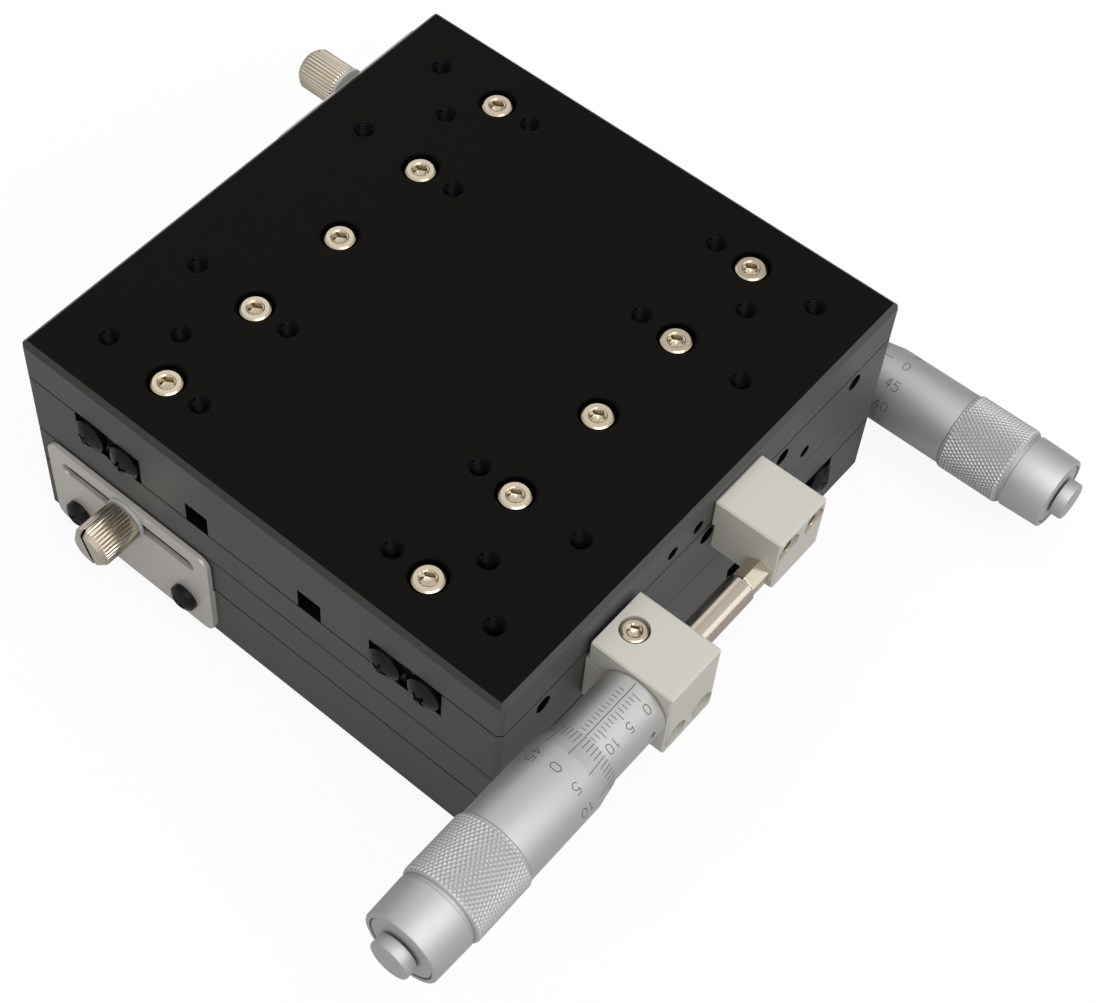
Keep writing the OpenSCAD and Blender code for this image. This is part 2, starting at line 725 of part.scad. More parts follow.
module table_rails() {
  color([0.62, 0.62, 0.63]) for (side = [0, 1]) mirror([side, 0, 0]) {
    translate([inner_rail_x0, 0, 0]) rail();
  }
}

// Rollers lie crosswise, each turned a right angle from the next
module rollers() {
  color([0.8, 0.8, 0.8]) for (side = [-1, 1], i = [0 : roller_count - 1]) {
    y = (i - (roller_count - 1) / 2) * roller_pitch;
    lean = i % 2 == 0 ? 45 : -45;
    translate([side * roller_x, y, rail_mid_z]) rotate([0, lean, 0]) {
      cylinder(d = roller_d, h = roller_l, center = true);
    }
  }
}

module roller_cages() {
  window_y = roller_d + 2 * cage_window_clear;
  window_z = norm([roller_d, roller_l]) + 2 * cage_window_clear;
  color([0.72, 0.6, 0.3]) for (side = [-1, 1]) difference() {
    translate([side * roller_x, 0, rail_mid_z]) cube([cage_t, cage_l, cage_h], center = true);
    for (i = [0 : roller_count - 1]) {
      y = (i - (roller_count - 1) / 2) * roller_pitch;
      translate([side * roller_x, y, rail_mid_z]) {
        cube([2 * cage_t, window_y, window_z], center = true);
      }
    }
  }
}

// Screws that hold the outer rails, from below
module base_rail_screws() {
  for (y = rail_screw_ys, side = [-1, 1]) {
    translate([side * base_rail_screw_x, y, base_seat_z]) mirror([0, 0, 1]) {
      m4_cap_screw(rail_z0 - base_seat_z, rail_screw_l);
    }
  }
}

// Screws that hold the inner rails, from above
module table_rail_screws() {
  for (y = rail_screw_ys, side = [-1, 1]) {
    translate([side * table_rail_screw_x, y, table_seat_z]) {
      m4_cap_screw(table_seat_z - rail_z1, rail_screw_l);
    }
  }
}

// Pan-head screws in the ends of a pair of rails, which also stop the cages
module end_screws(x) {
  for (side = [-1, 1], end = [0, 1]) mirror([0, end, 0]) {
    translate([side * x, rail_l / 2, rail_mid_z]) rotate([-90, 0, 0]) {
      pan_screw(pan_head_d, pan_head_h, 0, end_screw_l);
    }
  }
}

// Set screws that press the outer rail at +X against the rollers
module preload_screws() {
  color([0.2, 0.2, 0.21]) for (y = rail_screw_ys) {
    translate([outer_rail_x1, y, preload_z]) rotate([0, 90, 0]) difference() {
      cylinder(d = m4_core_d, h = preload_screw_l);
      translate([0, 0, preload_screw_l - preload_socket_depth]) {
        hex_bar(preload_socket, preload_socket_depth + over);
      }
    }
  }
}

module base_spring_pins() {
  for (side = [-1, 1]) translate([side * spring_x, -spring_pin_y, floor_t - spring_pin_hold]) {
    cylinder(d = spring_pin_d, h = spring_pin_hold + spring_z - floor_t + spring_pin_reach);
  }
}

module table_spring_pins() {
  pin_z0 = spring_z - spring_pin_reach;
  for (side = [-1, 1]) translate([side * spring_x, spring_pin_y, pin_z0]) {
    cylinder(d = spring_pin_d, h = groove_z1 + spring_pin_hold - pin_z0);
  }
}

// Extension springs as plain close-wound tubes with a loop at each end
module springs() {
  color([0.7, 0.7, 0.72]) for (side = [-1, 1]) translate([side * spring_x, 0, spring_z]) {
    difference() {
      rotate([90, 0, 0]) cylinder(d = spring_d, h = 2 * coil_half, center = true);
      rotate([90, 0, 0]) {
        cylinder(d = spring_d - 2 * spring_wire, h = 2 * (coil_half - spring_wire), center = true);
      }
    }
    for (end = [-1, 1]) translate([0, end * spring_pin_y, 0]) difference() {
      cylinder(r = loop_ring_r + spring_wire / 2, h = spring_wire, center = true);
      cylinder(r = loop_ring_r - spring_wire / 2, h = 2 * spring_wire, center = true);
    }
  }
}

// The clamp block on the base's side
module micrometer_block() {
  low = [half_w, -block_s1, axis_z - block_drop];
  high = [half_w + block_w, -block_y, axis_z + block_rise];
  slit_z0 = slit_z - slit_w / 2;
  seat_z = high.z - clamp_head_sink - m3_head_h;
  color([0.8, 0.8, 0.77]) difference() {
    chamfered_box(low, high, block_chamfer);
    translate([low.x - over, low.y - over, slit_z0]) {
      cube([block_relief + over, block_l + 2 * over, block_rise + over]);
    }
    translate([low.x - over, low.y - over, slit_z0]) cube([axis_out + over, block_l + 2 * over, slit_w]);
    on_axis(block_y - over) cylinder(d = block_bore_d, h = block_l + 2 * over);
    for (screw = [-0.5, 0.5]) {
      y = -block_mid_s + screw * block_screw_pitch;
      side_hole(m3_hole_d, half_w - over, high.x + over, y, block_screw_z);
      side_hole(m3_bore_d, half_w + block_screw_web, high.x + over, y, block_screw_z);
    }
    translate([half_w + clamp_screw_out, -block_mid_s, 0]) {
      hole(m3_hole_d, slit_z, high.z + over);
      hole(m3_bore_d, seat_z, high.z + over);
      hole(m3_tap_d, seat_z - clamp_screw_l - hole_spare / 2, slit_z);
    }
  }
}

module block_screws() {
  color([0.75, 0.74, 0.68]) for (screw = [-0.5, 0.5]) {
    y = -block_mid_s + screw * block_screw_pitch;
    translate([half_w + block_screw_web, y, block_screw_z]) rotate([0, 90, 0]) {
      m3_cap_screw(block_screw_web, block_screw_l);
    }
  }
}

module clamp_screw() {
  seat_z = axis_z + block_rise - clamp_head_sink - m3_head_h;
  color([0.8, 0.77, 0.66]) translate([half_w + clamp_screw_out, -block_mid_s, seat_z]) {
    m3_cap_screw(seat_z - slit_z, clamp_screw_l);
  }
}

// Stem, end wall and scale sleeve of the micrometer head
module sleeve() {
  spanner_z = spanner_hole_out + block_l;
  color([0.84, 0.84, 0.83]) on_axis(block_y) difference() {
    union() {
      cylinder(d = stem_d, h = block_l + eps);
      translate([0, 0, block_l]) cylinder(d = sleeve_d, h = sleeve_l);
    }
    translate([0, 0, -over]) cylinder(d = spindle_d + 2 * shaft_clear, h = block_l + sleeve_l);
    translate([0, 0, chamber_s0 - block_y]) cylinder(d = chamber_d, h = sleeve_l);
    rotate([0, 0, spanner_hole_angle]) translate([sleeve_d / 2, 0, spanner_z]) {
      rotate([0, 90, 0]) cylinder(d = spanner_hole_d, h = 2 * spanner_hole_depth, center = true);
    }
  }
}

module sleeve_nut() {
  color([0.72, 0.6, 0.3]) on_axis(sleeve_s1 - nut_l) difference() {
    cylinder(d = chamber_d, h = nut_l);
    translate([0, 0, -over]) cylinder(d = drive_d + 2 * shaft_clear, h = nut_l + 2 * over);
  }
}

// The spindle slides without turning, and its tail runs in the drive screw
module spindle() {
  color([0.86, 0.86, 0.86]) on_axis(spindle_s0) {
    cylinder(d = spindle_d, h = drive_s0 - tip_gap - spindle_s0);
    cylinder(d = tail_d, h = drive_s0 + tail_l - spindle_s0);
  }
}

// Threaded screw that turns with the thimble
module drive_screw() {
  color([0.7, 0.7, 0.7]) on_axis(drive_s0) difference() {
    union() {
      cylinder(d = drive_d, h = web_s0 - drive_s0);
      cylinder(d = drive_neck_d, h = spigot_s0 + thimble_web - drive_s0);
    }
    translate([0, 0, -over]) cylinder(d = tail_d + 2 * shaft_clear, h = tail_l + over + hole_spare);
  }
}

module thimble() {
  color([0.84, 0.84, 0.83]) on_axis(0) rotate_extrude() polygon([
    [thimble_bore_d / 2, thimble_s0], [thimble_front_d / 2, thimble_s0],
    [thimble_d / 2, plain_s0], [thimble_d / 2, grip_s0],
    [grip_d / 2 - grip_chamfer, grip_s0], [grip_d / 2, grip_s0 + grip_chamfer],
    [grip_d / 2, grip_s1 - grip_chamfer], [grip_d / 2 - grip_chamfer, grip_s1],
    [neck_d / 2, grip_s1], [neck_d / 2, cap_s0], [spigot_d / 2, cap_s0],
    [spigot_d / 2, web_s1], [drive_neck_d / 2, web_s1], [drive_neck_d / 2, web_s0],
    [thimble_bore_d / 2, web_s0]
  ]);
}

module thimble_cap() {
  rim_r = cap_back_d / 2 - cap_rim_w;
  disc_r = rim_r - cap_groove_w;
  shaft_r = button_shaft_d / 2 + shaft_clear;
  neck_s1 = spigot_s0 + thimble_web;
  color([0.84, 0.84, 0.83]) on_axis(0) rotate_extrude() polygon([
    [drive_neck_d / 2, spigot_s0], [spigot_d / 2, spigot_s0], [spigot_d / 2, cap_s0],
    [cap_front_d / 2, cap_s0], [cap_back_d / 2, cap_s1 - cap_chamfer],
    [cap_back_d / 2 - cap_chamfer, cap_s1], [rim_r, cap_s1],
    [rim_r, cap_s1 - cap_groove_depth], [disc_r, cap_s1 - cap_groove_depth],
    [disc_r, cap_s1], [shaft_r, cap_s1], [shaft_r, button_s0 - button_shaft_l - hole_spare],
    [0, button_s0 - button_shaft_l - hole_spare], [0, neck_s1], [drive_neck_d / 2, neck_s1]
  ]);
}

module ratchet_button() {
  color([0.84, 0.84, 0.83]) on_axis(button_s0) {
    translate([0, 0, -button_shaft_l]) cylinder(d = button_shaft_d, h = button_shaft_l + eps);
    cylinder(d = button_d, h = button_h - button_chamfer);
    translate([0, 0, button_h - button_chamfer]) {
      cylinder(d1 = button_d, d2 = button_d - 2 * button_chamfer, h = button_chamfer);
    }
  }
}

// The block on the table's side that the spindle pushes
module anvil_block() {
  low = [half_w, anvil_y, axis_z - anvil_drop];
  high = [half_w + anvil_w, anvil_y + anvil_l, table_z0 + anvil_rise];
  seat_x = high.x - anvil_head_sink - m3_head_h;
  color([0.8, 0.8, 0.77]) difference() {
    chamfered_box(low, high, block_chamfer);
    translate([low.x - over, low.y - over, low.z - over]) {
      cube([block_relief + over, anvil_l + 2 * over, table_z0 - low.z + over]);
    }
    for (screw = [-0.5, 0.5]) {
      y = anvil_y + anvil_l / 2 + screw * anvil_screw_pitch;
      side_hole(m3_hole_d, half_w - over, high.x + over, y, table_z0 + anvil_screw_rise);
      side_hole(m3_bore_d, seat_x, high.x + over, y, table_z0 + anvil_screw_rise);
    }
    on_axis(-anvil_y - anvil_pin_shank_l - hole_spare) {
      cylinder(d = m3_tap_d, h = anvil_pin_shank_l + hole_spare + over);
    }
  }
}

module anvil_screws() {
  seat_x = half_w + anvil_w - anvil_head_sink - m3_head_h;
  color([0.8, 0.8, 0.78]) for (screw = [-0.5, 0.5]) {
    y = anvil_y + anvil_l / 2 + screw * anvil_screw_pitch;
    translate([seat_x, y, table_z0 + anvil_screw_rise]) rotate([0, 90, 0]) {
      m3_cap_screw(seat_x - half_w, anvil_screw_l);
    }
  }
}

// Hex-headed pin whose flat end meets the spindle
module anvil_pin() {
  color([0.82, 0.78, 0.68]) on_axis(-anvil_y) {
    hex_bar(anvil_pin_flats, anvil_pin_head_l);
    translate([0, 0, -anvil_pin_shank_l]) cylinder(d = m3_core_d, h = anvil_pin_shank_l + eps);
  }
}

// Slotted plate on the base's side at -X, held by two screws and gripped by the lock knob
module lock_plate(top_drop) {
  z1 = stage_h - top_drop;
  color([0.72, 0.7, 0.66]) difference() {
    translate([-plate_x1, lock_y, 0]) rotate([90, 0, 90]) {
      linear_extrude(height = plate_t) difference() {
        rounded_plate(z1);
        for (screw = [-0.5, 0.5]) translate([screw * plate_screw_pitch, plate_screw_z]) {
          circle(d = m4_hole_d);
        }
        for (end = [-1, 1]) translate([end * slot_half, lock_z]) circle(d = slot_w);
        translate([-slot_half, lock_z - slot_w / 2]) square([2 * slot_half, slot_w]);
      }
    }
    translate([-half_w - plate_relief, lock_y - plate_w, wall_z1 - running_gap]) {
      cube([over, 2 * plate_w, stage_h]);
    }
  }
}

// The lock plate's outline, from y and z
module rounded_plate(z1) {
  x = plate_w / 2 - plate_r;
  union() {
    translate([-plate_w / 2, plate_z + plate_r]) square([plate_w, z1 - plate_z - 2 * plate_r]);
    translate([-x, plate_z]) square([2 * x, z1 - plate_z]);
    for (side = [-1, 1], z = [plate_z + plate_r, z1 - plate_r]) {
      translate([side * x, z]) circle(r = plate_r);
    }
  }
}

module lock_plate_screws() {
  color([0.12, 0.12, 0.12]) for (screw = [-0.5, 0.5]) {
    translate([-plate_x1, lock_y + screw * plate_screw_pitch, plate_screw_z]) {
      rotate([0, -90, 0]) pan_screw(plate_head_d, plate_head_h, plate_t, plate_screw_l);
    }
  }
}

module lock_washer() {
  color([0.88, 0.9, 0.88]) translate([-knob_x0, lock_y, lock_z]) rotate([0, 90, 0]) difference() {
    cylinder(d = washer_d, h = washer_t);
    translate([0, 0, -over]) cylinder(d = m3_d + 2 * shaft_clear, h = washer_t + 2 * over);
  }
}

// Straight-knurled thumb screw with its threaded end in the table
module lock_knob() {
  knob_r = knob_d / 2;
  plain_l = knob_l - knob_bevel;
  color([0.78, 0.76, 0.68]) translate([-knob_x0, lock_y, lock_z]) rotate([0, -90, 0]) {
    difference() {
      rotate_extrude() polygon([
        [0, 0], [knob_r - knob_groove_depth, 0], [knob_r, knob_groove_depth],
        [knob_r, plain_l], [knob_r - knob_bevel, knob_l], [0, knob_l]
      ]);
      for (i = [0 : knob_grooves - 1]) rotate([0, 0, i * 360 / knob_grooves]) {
        translate([knob_r, 0, knob_l / 2]) rotate([0, 0, 45]) {
          cube([knob_groove_depth * sqrt(2), knob_groove_depth * sqrt(2), 2 * knob_l], center = true);
        }
      }
      translate([-knob_d, -knob_slot_w / 2, knob_l - knob_slot_depth]) {
        cube([2 * knob_d, knob_slot_w, knob_l]);
      }
    }
    translate([0, 0, -washer_t - plate_t]) cylinder(d = m3_d, h = washer_t + plate_t + eps);
    translate([0, 0, -washer_t - plate_t - lock_screw_l]) cylinder(d = m3_core_d, h = lock_screw_l);
  }
}

on_stage("lower") stage_base(true);  // lower_base
on_stage("lower") base_rails();  // lower_base_rails
on_stage("lower") {  // lower_base_rail_screws
  color([0.75, 0.72, 0.6]) base_rail_screws();
}
on_stage("lower") {  // lower_base_end_screws
  color([0.12, 0.12, 0.12]) end_screws(outer_rail_x1 - rail_w / 2);
}
on_stage("lower") preload_screws();  // lower_preload_screws
on_stage("lower") {  // lower_base_spring_pins
  color([0.6, 0.6, 0.62]) base_spring_pins();
}
on_stage("lower") springs();  // lower_springs
on_stage("lower") rollers();  // lower_rollers
on_stage("lower") roller_cages();  // lower_roller_cages
on_stage("lower") stage_table(true);  // lower_table
on_stage("lower") table_rails();  // lower_table_rails
on_stage("lower") micrometer_block();  // lower_micrometer_block
on_stage("lower") block_screws();  // lower_block_screws
on_stage("lower") clamp_screw();  // lower_clamp_screw
on_stage("lower") sleeve();  // lower_sleeve
on_stage("lower") sleeve_nut();  // lower_sleeve_nut
on_stage("lower") spindle();  // lower_spindle
on_stage("lower") drive_screw();  // lower_drive_screw
on_stage("lower") thimble();  // lower_thimble
on_stage("lower") thimble_cap();  // lower_thimble_cap
on_stage("lower") ratchet_button();  // lower_ratchet_button
on_stage("lower") anvil_block();  // lower_anvil_block
on_stage("lower") anvil_screws();  // lower_anvil_screws
on_stage("lower") anvil_pin();  // lower_anvil_pin
on_stage("lower") lock_plate(plate_top_drop);  // lower_lock_plate
on_stage("lower") lock_plate_screws();  // lower_lock_plate_screws
on_stage("lower") lock_washer();  // lower_lock_washer
on_stage("lower") lock_knob();  // lower_lock_knob
color([0.75, 0.72, 0.6]) {  // middle_rail_screws
  on_stage("lower") table_rail_screws();
  on_stage("upper") base_rail_screws();
}
color([0.12, 0.12, 0.12]) {  // middle_end_screws
  on_stage("lower") end_screws(inner_rail_x0 + rail_w / 2);
  on_stage("upper") end_screws(outer_rail_x1 - rail_w / 2);
}
color([0.6, 0.6, 0.62]) {  // middle_spring_pins
  on_stage("lower") table_spring_pins();
  on_stage("upper") base_spring_pins();
}
color([0.75, 0.72, 0.6]) on_stage("upper") {  // join_screws
  four(join_screw_x, outer_hole_x) translate([0, 0, join_seat_z]) {
    m4_cap_screw(join_seat_z, join_screw_l);
  }
}
on_stage("upper") stage_base(false);  // upper_base
on_stage("upper") base_rails();  // upper_base_rails
on_stage("upper") preload_screws();  // upper_preload_screws
on_stage("upper") springs();  // upper_springs
on_stage("upper") rollers();  // upper_rollers
on_stage("upper") roller_cages();  // upper_roller_cages
on_stage("upper") stage_table(false);  // upper_table
on_stage("upper") table_rails();  // upper_table_rails
on_stage("upper") {  // upper_table_rail_screws
  color([0.75, 0.72, 0.6]) table_rail_screws();
}
on_stage("upper") {  // upper_table_end_screws
  color([0.12, 0.12, 0.12]) end_screws(inner_rail_x0 + rail_w / 2);
}
on_stage("upper") {  // upper_table_spring_pins
  color([0.6, 0.6, 0.62]) table_spring_pins();
}
on_stage("upper") micrometer_block();  // upper_micrometer_block
on_stage("upper") block_screws();  // upper_block_screws
on_stage("upper") clamp_screw();  // upper_clamp_screw
on_stage("upper") sleeve();  // upper_sleeve
on_stage("upper") sleeve_nut();  // upper_sleeve_nut
on_stage("upper") spindle();  // upper_spindle
on_stage("upper") drive_screw();  // upper_drive_screw
on_stage("upper") thimble();  // upper_thimble
on_stage("upper") thimble_cap();  // upper_thimble_cap
on_stage("upper") ratchet_button();  // upper_ratchet_button
on_stage("upper") anvil_block();  // upper_anvil_block
on_stage("upper") anvil_screws();  // upper_anvil_screws
on_stage("upper") anvil_pin();  // upper_anvil_pin
on_stage("upper") lock_plate(upper_plate_top_drop);  // upper_lock_plate
on_stage("upper") lock_plate_screws();  // upper_lock_plate_screws
on_stage("upper") lock_washer();  // upper_lock_washer
on_stage("upper") lock_knob();  // upper_lock_knob
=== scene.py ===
"""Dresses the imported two-axis micrometer stage with detailed meshes and procedural materials."""

import math

import bmesh
import bpy
from bpy.props import FloatProperty, FloatVectorProperty, IntProperty, PointerProperty
from mathutils import Matrix, Vector


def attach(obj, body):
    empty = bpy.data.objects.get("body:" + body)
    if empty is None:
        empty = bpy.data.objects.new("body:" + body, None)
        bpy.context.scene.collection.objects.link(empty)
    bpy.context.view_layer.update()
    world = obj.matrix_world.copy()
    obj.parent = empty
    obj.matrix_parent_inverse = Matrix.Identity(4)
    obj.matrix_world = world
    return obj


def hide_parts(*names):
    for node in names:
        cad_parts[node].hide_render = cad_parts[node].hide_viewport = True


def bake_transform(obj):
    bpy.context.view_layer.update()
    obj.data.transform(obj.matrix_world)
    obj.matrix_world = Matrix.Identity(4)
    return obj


bl_info = {
    "name": "Two-axis micrometer stage",
    "version": (1, 0, 0),
    "blender": (4, 5, 0),
    "location": "View3D > Sidebar > Stage",
    "description": "Detailed pieces, materials and studio for a two-axis micrometer stage",
    "category": "Object",
}

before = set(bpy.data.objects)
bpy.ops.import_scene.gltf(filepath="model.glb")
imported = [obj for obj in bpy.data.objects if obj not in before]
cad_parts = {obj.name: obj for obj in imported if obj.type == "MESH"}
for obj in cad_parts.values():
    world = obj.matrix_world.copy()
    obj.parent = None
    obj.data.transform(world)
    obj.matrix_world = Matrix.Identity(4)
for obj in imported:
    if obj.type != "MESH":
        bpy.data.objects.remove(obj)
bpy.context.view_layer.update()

MM = 0.001
PREFIXES = ("lower", "upper")
FIXED = {"lower": "fixed_base", "upper": "middle_table"}
MOVING = {"lower": "middle_table", "upper": "top_table"}
SIGNS = (-1, 1)
CORNERS = [(sx, sy) for sx in SIGNS for sy in SIGNS]
UP, DOWN, OUT, BACK = (0, 0, 1), (0, 0, -1), (1, 0, 0), (-1, 0, 0)

# Places of the two stages and of the spindle's axis, in millimetres
STAGE_RISE = 28.0
AXIS_X, AXIS_Z = 74.75, 14.0
PLACE = {
    "lower": Matrix.Rotation(math.radians(90), 4, "Z"),
    "upper": Matrix.Translation((0, 0, STAGE_RISE)),
}
AXIS = Matrix.Translation((AXIS_X, 0, AXIS_Z)) @ Matrix.Rotation(math.radians(90), 4, "X")

# Plates and rails, in the frame of one stage
HALF_W, TABLE_TOP = 62.5, 28.0
HOLE_GRID, DIAGONAL_HOLE = 25.0, 40.0
JOIN_SPOT, JOIN_SEAT_Z = (20.0, 50.0), 4.5
RAIL_ROWS = (-50.0, -25.0, 0.0, 25.0, 50.0)
INNER_SCREW_X, INNER_SEAT_Z = 34.0, 23.3
OUTER_SCREW_X, OUTER_SEAT_Z = 44.8, 4.6
INNER_RAIL_X, OUTER_RAIL_X, RAIL_Z = 34.55, 44.25, 13.1
RAIL_END = 61.6
PRELOAD_Z = 13.6

# Blocks, locks and springs. The screws of a block stand PAIR to either side of its middle.
PAIR = 4.0
BLOCK_X, BLOCK_Y, BLOCK_SCREW_Z = 68.5, -30.5, 5.6
CLAMP_X, CLAMP_Z = 67.8, 18.7
ANVIL_X, ANVIL_Y, ANVIL_Z = 74.9, 8.0, 21.0
LOCK_X, LOCK_Y, LOCK_Z = -64.0, 35.0, 22.5
PLATE_SCREW_Y, PLATE_SCREW_Z = 15.5, 8.75
WASHER_T, WASHER_R = 0.8, 5.0
SPRING_X, SPRING_Z, SPRING_WIRE_R = 15.0, 11.8, 0.29
SPRING_END = 42.5

# Threads: outer radius, core radius and pitch
M4, M3 = (2.0, 1.65, 0.7), (1.5, 1.25, 0.5)

# Cap screws: head's diameter and height, diameters of shank and core, socket's flats, and pitch
M4_CAP = (7.0, 4.0, 3.98, 3.2, 3.0, 0.7)
M3_CAP = (5.5, 3.0, 2.98, 2.4, 2.5, 0.5)

# Pan heads: radius and height
RAIL_HEAD, PLATE_HEAD = (3.9, 3.0), (3.25, 2.5)

# Micrometer head: radii, and the places of its scales along its axis
SLEEVE_R, THIMBLE_R, GRIP_R = 7.4, 8.55, 9.0
STEM_R, STEM_BORE_R, COLLAR_S, SLEEVE_END_S = 4.76, 3.215, 38.0, 70.0
BEVEL_START, BEVEL_END = (7.62, 53.62), (8.52, 58.56)
MARK_LIFT = 0.012
TRAVEL, SCALE_START_S, SCALE_ANGLE = 25, 41.1, 89
DIVISIONS, ZERO_ANGLE = 50, 88


class StageSizes(bpy.types.PropertyGroup):
    edge_break: FloatProperty(
        name="Edge break", description="Width of the small bevel on machined edges",
        default=0.00012, min=0.0, max=0.0005, unit="LENGTH",
    )
    knurl_count: IntProperty(
        name="Knurl diamonds", description="Diamonds round the thimble's grip",
        default=58, min=24, max=90,
    )
    knurl_depth: FloatProperty(
        name="Knurl depth", description="Depth of the grooves in the thimble's grip",
        default=0.00022, min=0.0, max=0.0005, unit="LENGTH",
    )
    mark_width: FloatProperty(
        name="Mark width", description="Width of the lines and digits of the scales",
        default=0.00014, min=0.00005, max=0.0004, unit="LENGTH",
    )
    digit_height: FloatProperty(
        name="Digit height", description="Height of the scales' digits",
        default=0.0021, min=0.001, max=0.004, unit="LENGTH",
    )
    spring_turns: IntProperty(
        name="Spring turns", description="Turns of each return spring",
        default=70, min=20, max=140,
    )


def tint(name, description, default):
    """A colour property."""
    return FloatVectorProperty(
        name=name, description=description, subtype="COLOR", default=default, min=0.0, max=1.0,
    )


class StageColours(bpy.types.PropertyGroup):
    top: tint("Top face", "Colour of the black anodised top faces", (0.0045, 0.0042, 0.0035))
    # The side faces are the top's black anodising; their far lighter colour is painted light,
    # standing in for the floor's glow on them
    sides: tint("Side faces", "Colour of the black anodised side faces", (0.068, 0.068, 0.071))
    # The chamfers are the top's black anodising; their lighter colour is a painted highlight along
    # the broken edges
    edges: tint("Chamfers", "Colour of the chamfers of the black parts", (0.024, 0.022, 0.02))
    blocks: tint("Blocks", "Colour of the pale anodised blocks", (0.56, 0.545, 0.495))
    chrome: tint("Satin chrome", "Colour of the micrometer heads", (0.55, 0.55, 0.545))
    screws: tint("Cap screws", "Colour of the nickel-plated cap screws", (0.57, 0.5, 0.38))
    plate: tint("Lock plates", "Colour of the stainless lock plates", (0.62, 0.59, 0.555))
    background: tint("Background", "Colour of the floor and the background", (1.0, 1.0, 1.0))


def sizes():
    return bpy.context.scene.stage_sizes


def colours():
    return bpy.context.scene.stage_colours


# Materials

# Each finish: its colour or the colour property that holds it, its roughness, how far its tone
# varies, the height of its grain in millimetres, and what differs from grained()'s other values
FINISHES = {
    "anodised_top": ("top", 0.5, 0.2, 0.006, dict(level=0.05, grain=2500.0)),
    # sides: painted light, a lighter copy of the black anodising for the floor's glow on the side
    # faces
    "anodised_sides": ("sides", 0.45, 0.1, 0.003, dict(level=0.4, stretch=(0.12, 0.12, 1))),
    # chamfers: painted highlight, a lighter copy of the black anodising
    "anodised_edges": ("edges", 0.36, 0.15, 0.004, dict(level=0.55, grain=1200.0)),
    # inside: painted shade, a darker, less glossy copy of the black anodising for holes,
    # counterbores and other faces within the outline
    "anodised_inside": ((0.0025, 0.0025, 0.0025), 0.6, 0.2, 0.004, dict(level=0.07)),
    "pale_anodised": ("blocks", 0.55, 0.04, 0.006, dict(metallic=0.15, level=0.3, grain=4500.0)),
    "satin_chrome": (
        "chrome", 0.57, 0.04, 0.0015,
        dict(metallic=0.95, level=0.4, grain=1500.0, stretch=(0.2, 0.2, 3)),
    ),
    "ground_steel": (
        (0.55, 0.49, 0.42), 0.2, 0.05, 0.001,
        dict(metallic=1.0, grain=1500.0, stretch=(0.2, 0.2, 3)),
    ),
    "nickel_screw": ("screws", 0.2, 0.06, 0.001, dict(metallic=1.0, grain=1500.0)),
    "knob_nickel": ((0.66, 0.6, 0.49), 0.17, 0.06, 0.001, dict(metallic=1.0, grain=1500.0)),
    "black_screw": ((0.004, 0.004, 0.005), 0.17, 0.25, 0.003, dict(level=0.28, grain=1200.0)),
    "stainless_plate": ("plate", 0.34, 0.1, 0.002, dict(metallic=0.4, stretch=(6, 0.15, 0.15))),
    # thread walls: near-black with little gloss, painted shade in the tapped holes
    "black_thread": ((0.0015, 0.0015, 0.002), 0.32, 0.25, 0.002, dict(level=0.06, grain=1200.0)),
    # rails and roller cages: near-black, painted shade so the gaps and end pockets between the
    # plates read dark
    "dark_steel": ((0.03, 0.03, 0.031), 0.4, 0.1, 0.002, dict(metallic=0.6)),
    "brass": ((0.68, 0.5, 0.22), 0.3, 0.08, 0.002, dict(metallic=1.0, grain=1200.0)),
    "spring_steel": ((0.45, 0.44, 0.43), 0.3, 0.1, 0.001, dict(metallic=1.0, grain=1500.0)),
    "white_nylon": ((0.42, 0.44, 0.43), 0.4, 0.03, 0.003, dict(grain=1500.0)),
    "scale_ink": ((0.06, 0.055, 0.05), 0.6, 0.2, 0.002, dict(level=0.2, grain=3000.0)),
}
BROAD_GRAIN = 35.0
ROUGH_SPREAD = 0.12


def fresh_tree(owner):
    """The emptied node tree of a material or a world."""
    owner.use_nodes = True
    owner.node_tree.nodes.clear()
    return owner.node_tree


def new_node(tree, kind, **values):
    """A shader node with inputs set by name, where an underscore stands for a space."""
    made = tree.nodes.new("ShaderNode" + kind)
    for name, value in values.items():
        made.inputs[name.replace("_", " ")].default_value = value
    return made


def colour_mix(tree, **ends):
    """A node that mixes colour A with colour B."""
    made = new_node(tree, "Mix")
    made.data_type = "RGBA"
    for name, colour in ends.items():
        made.inputs[name].default_value = (*colour, 1.0)
    return made


def math_node(tree, operation, factor):
    """A node that multiplies by a factor, for MULTIPLY and MULTIPLY_ADD."""
    made = new_node(tree, "Math")
    made.operation = operation
    made.inputs[1].default_value = factor
    return made


def connect(tree, *routes):
    """Links nodes. Each route is a node, its output, the next node and its input."""
    for source, output, target, entry in routes:
        tree.links.new(source.outputs[output], target.inputs[entry])


def finish(name):
    """The material of a finish, made when it is first asked for."""
    colour, rough, vary, bump, other = FINISHES[name]
    if isinstance(colour, str):
        colour = getattr(colours(), colour)
    found = bpy.data.materials.get(name + "_finish")
    return found or grained(name + "_finish", colour, rough, vary, bump, **other)


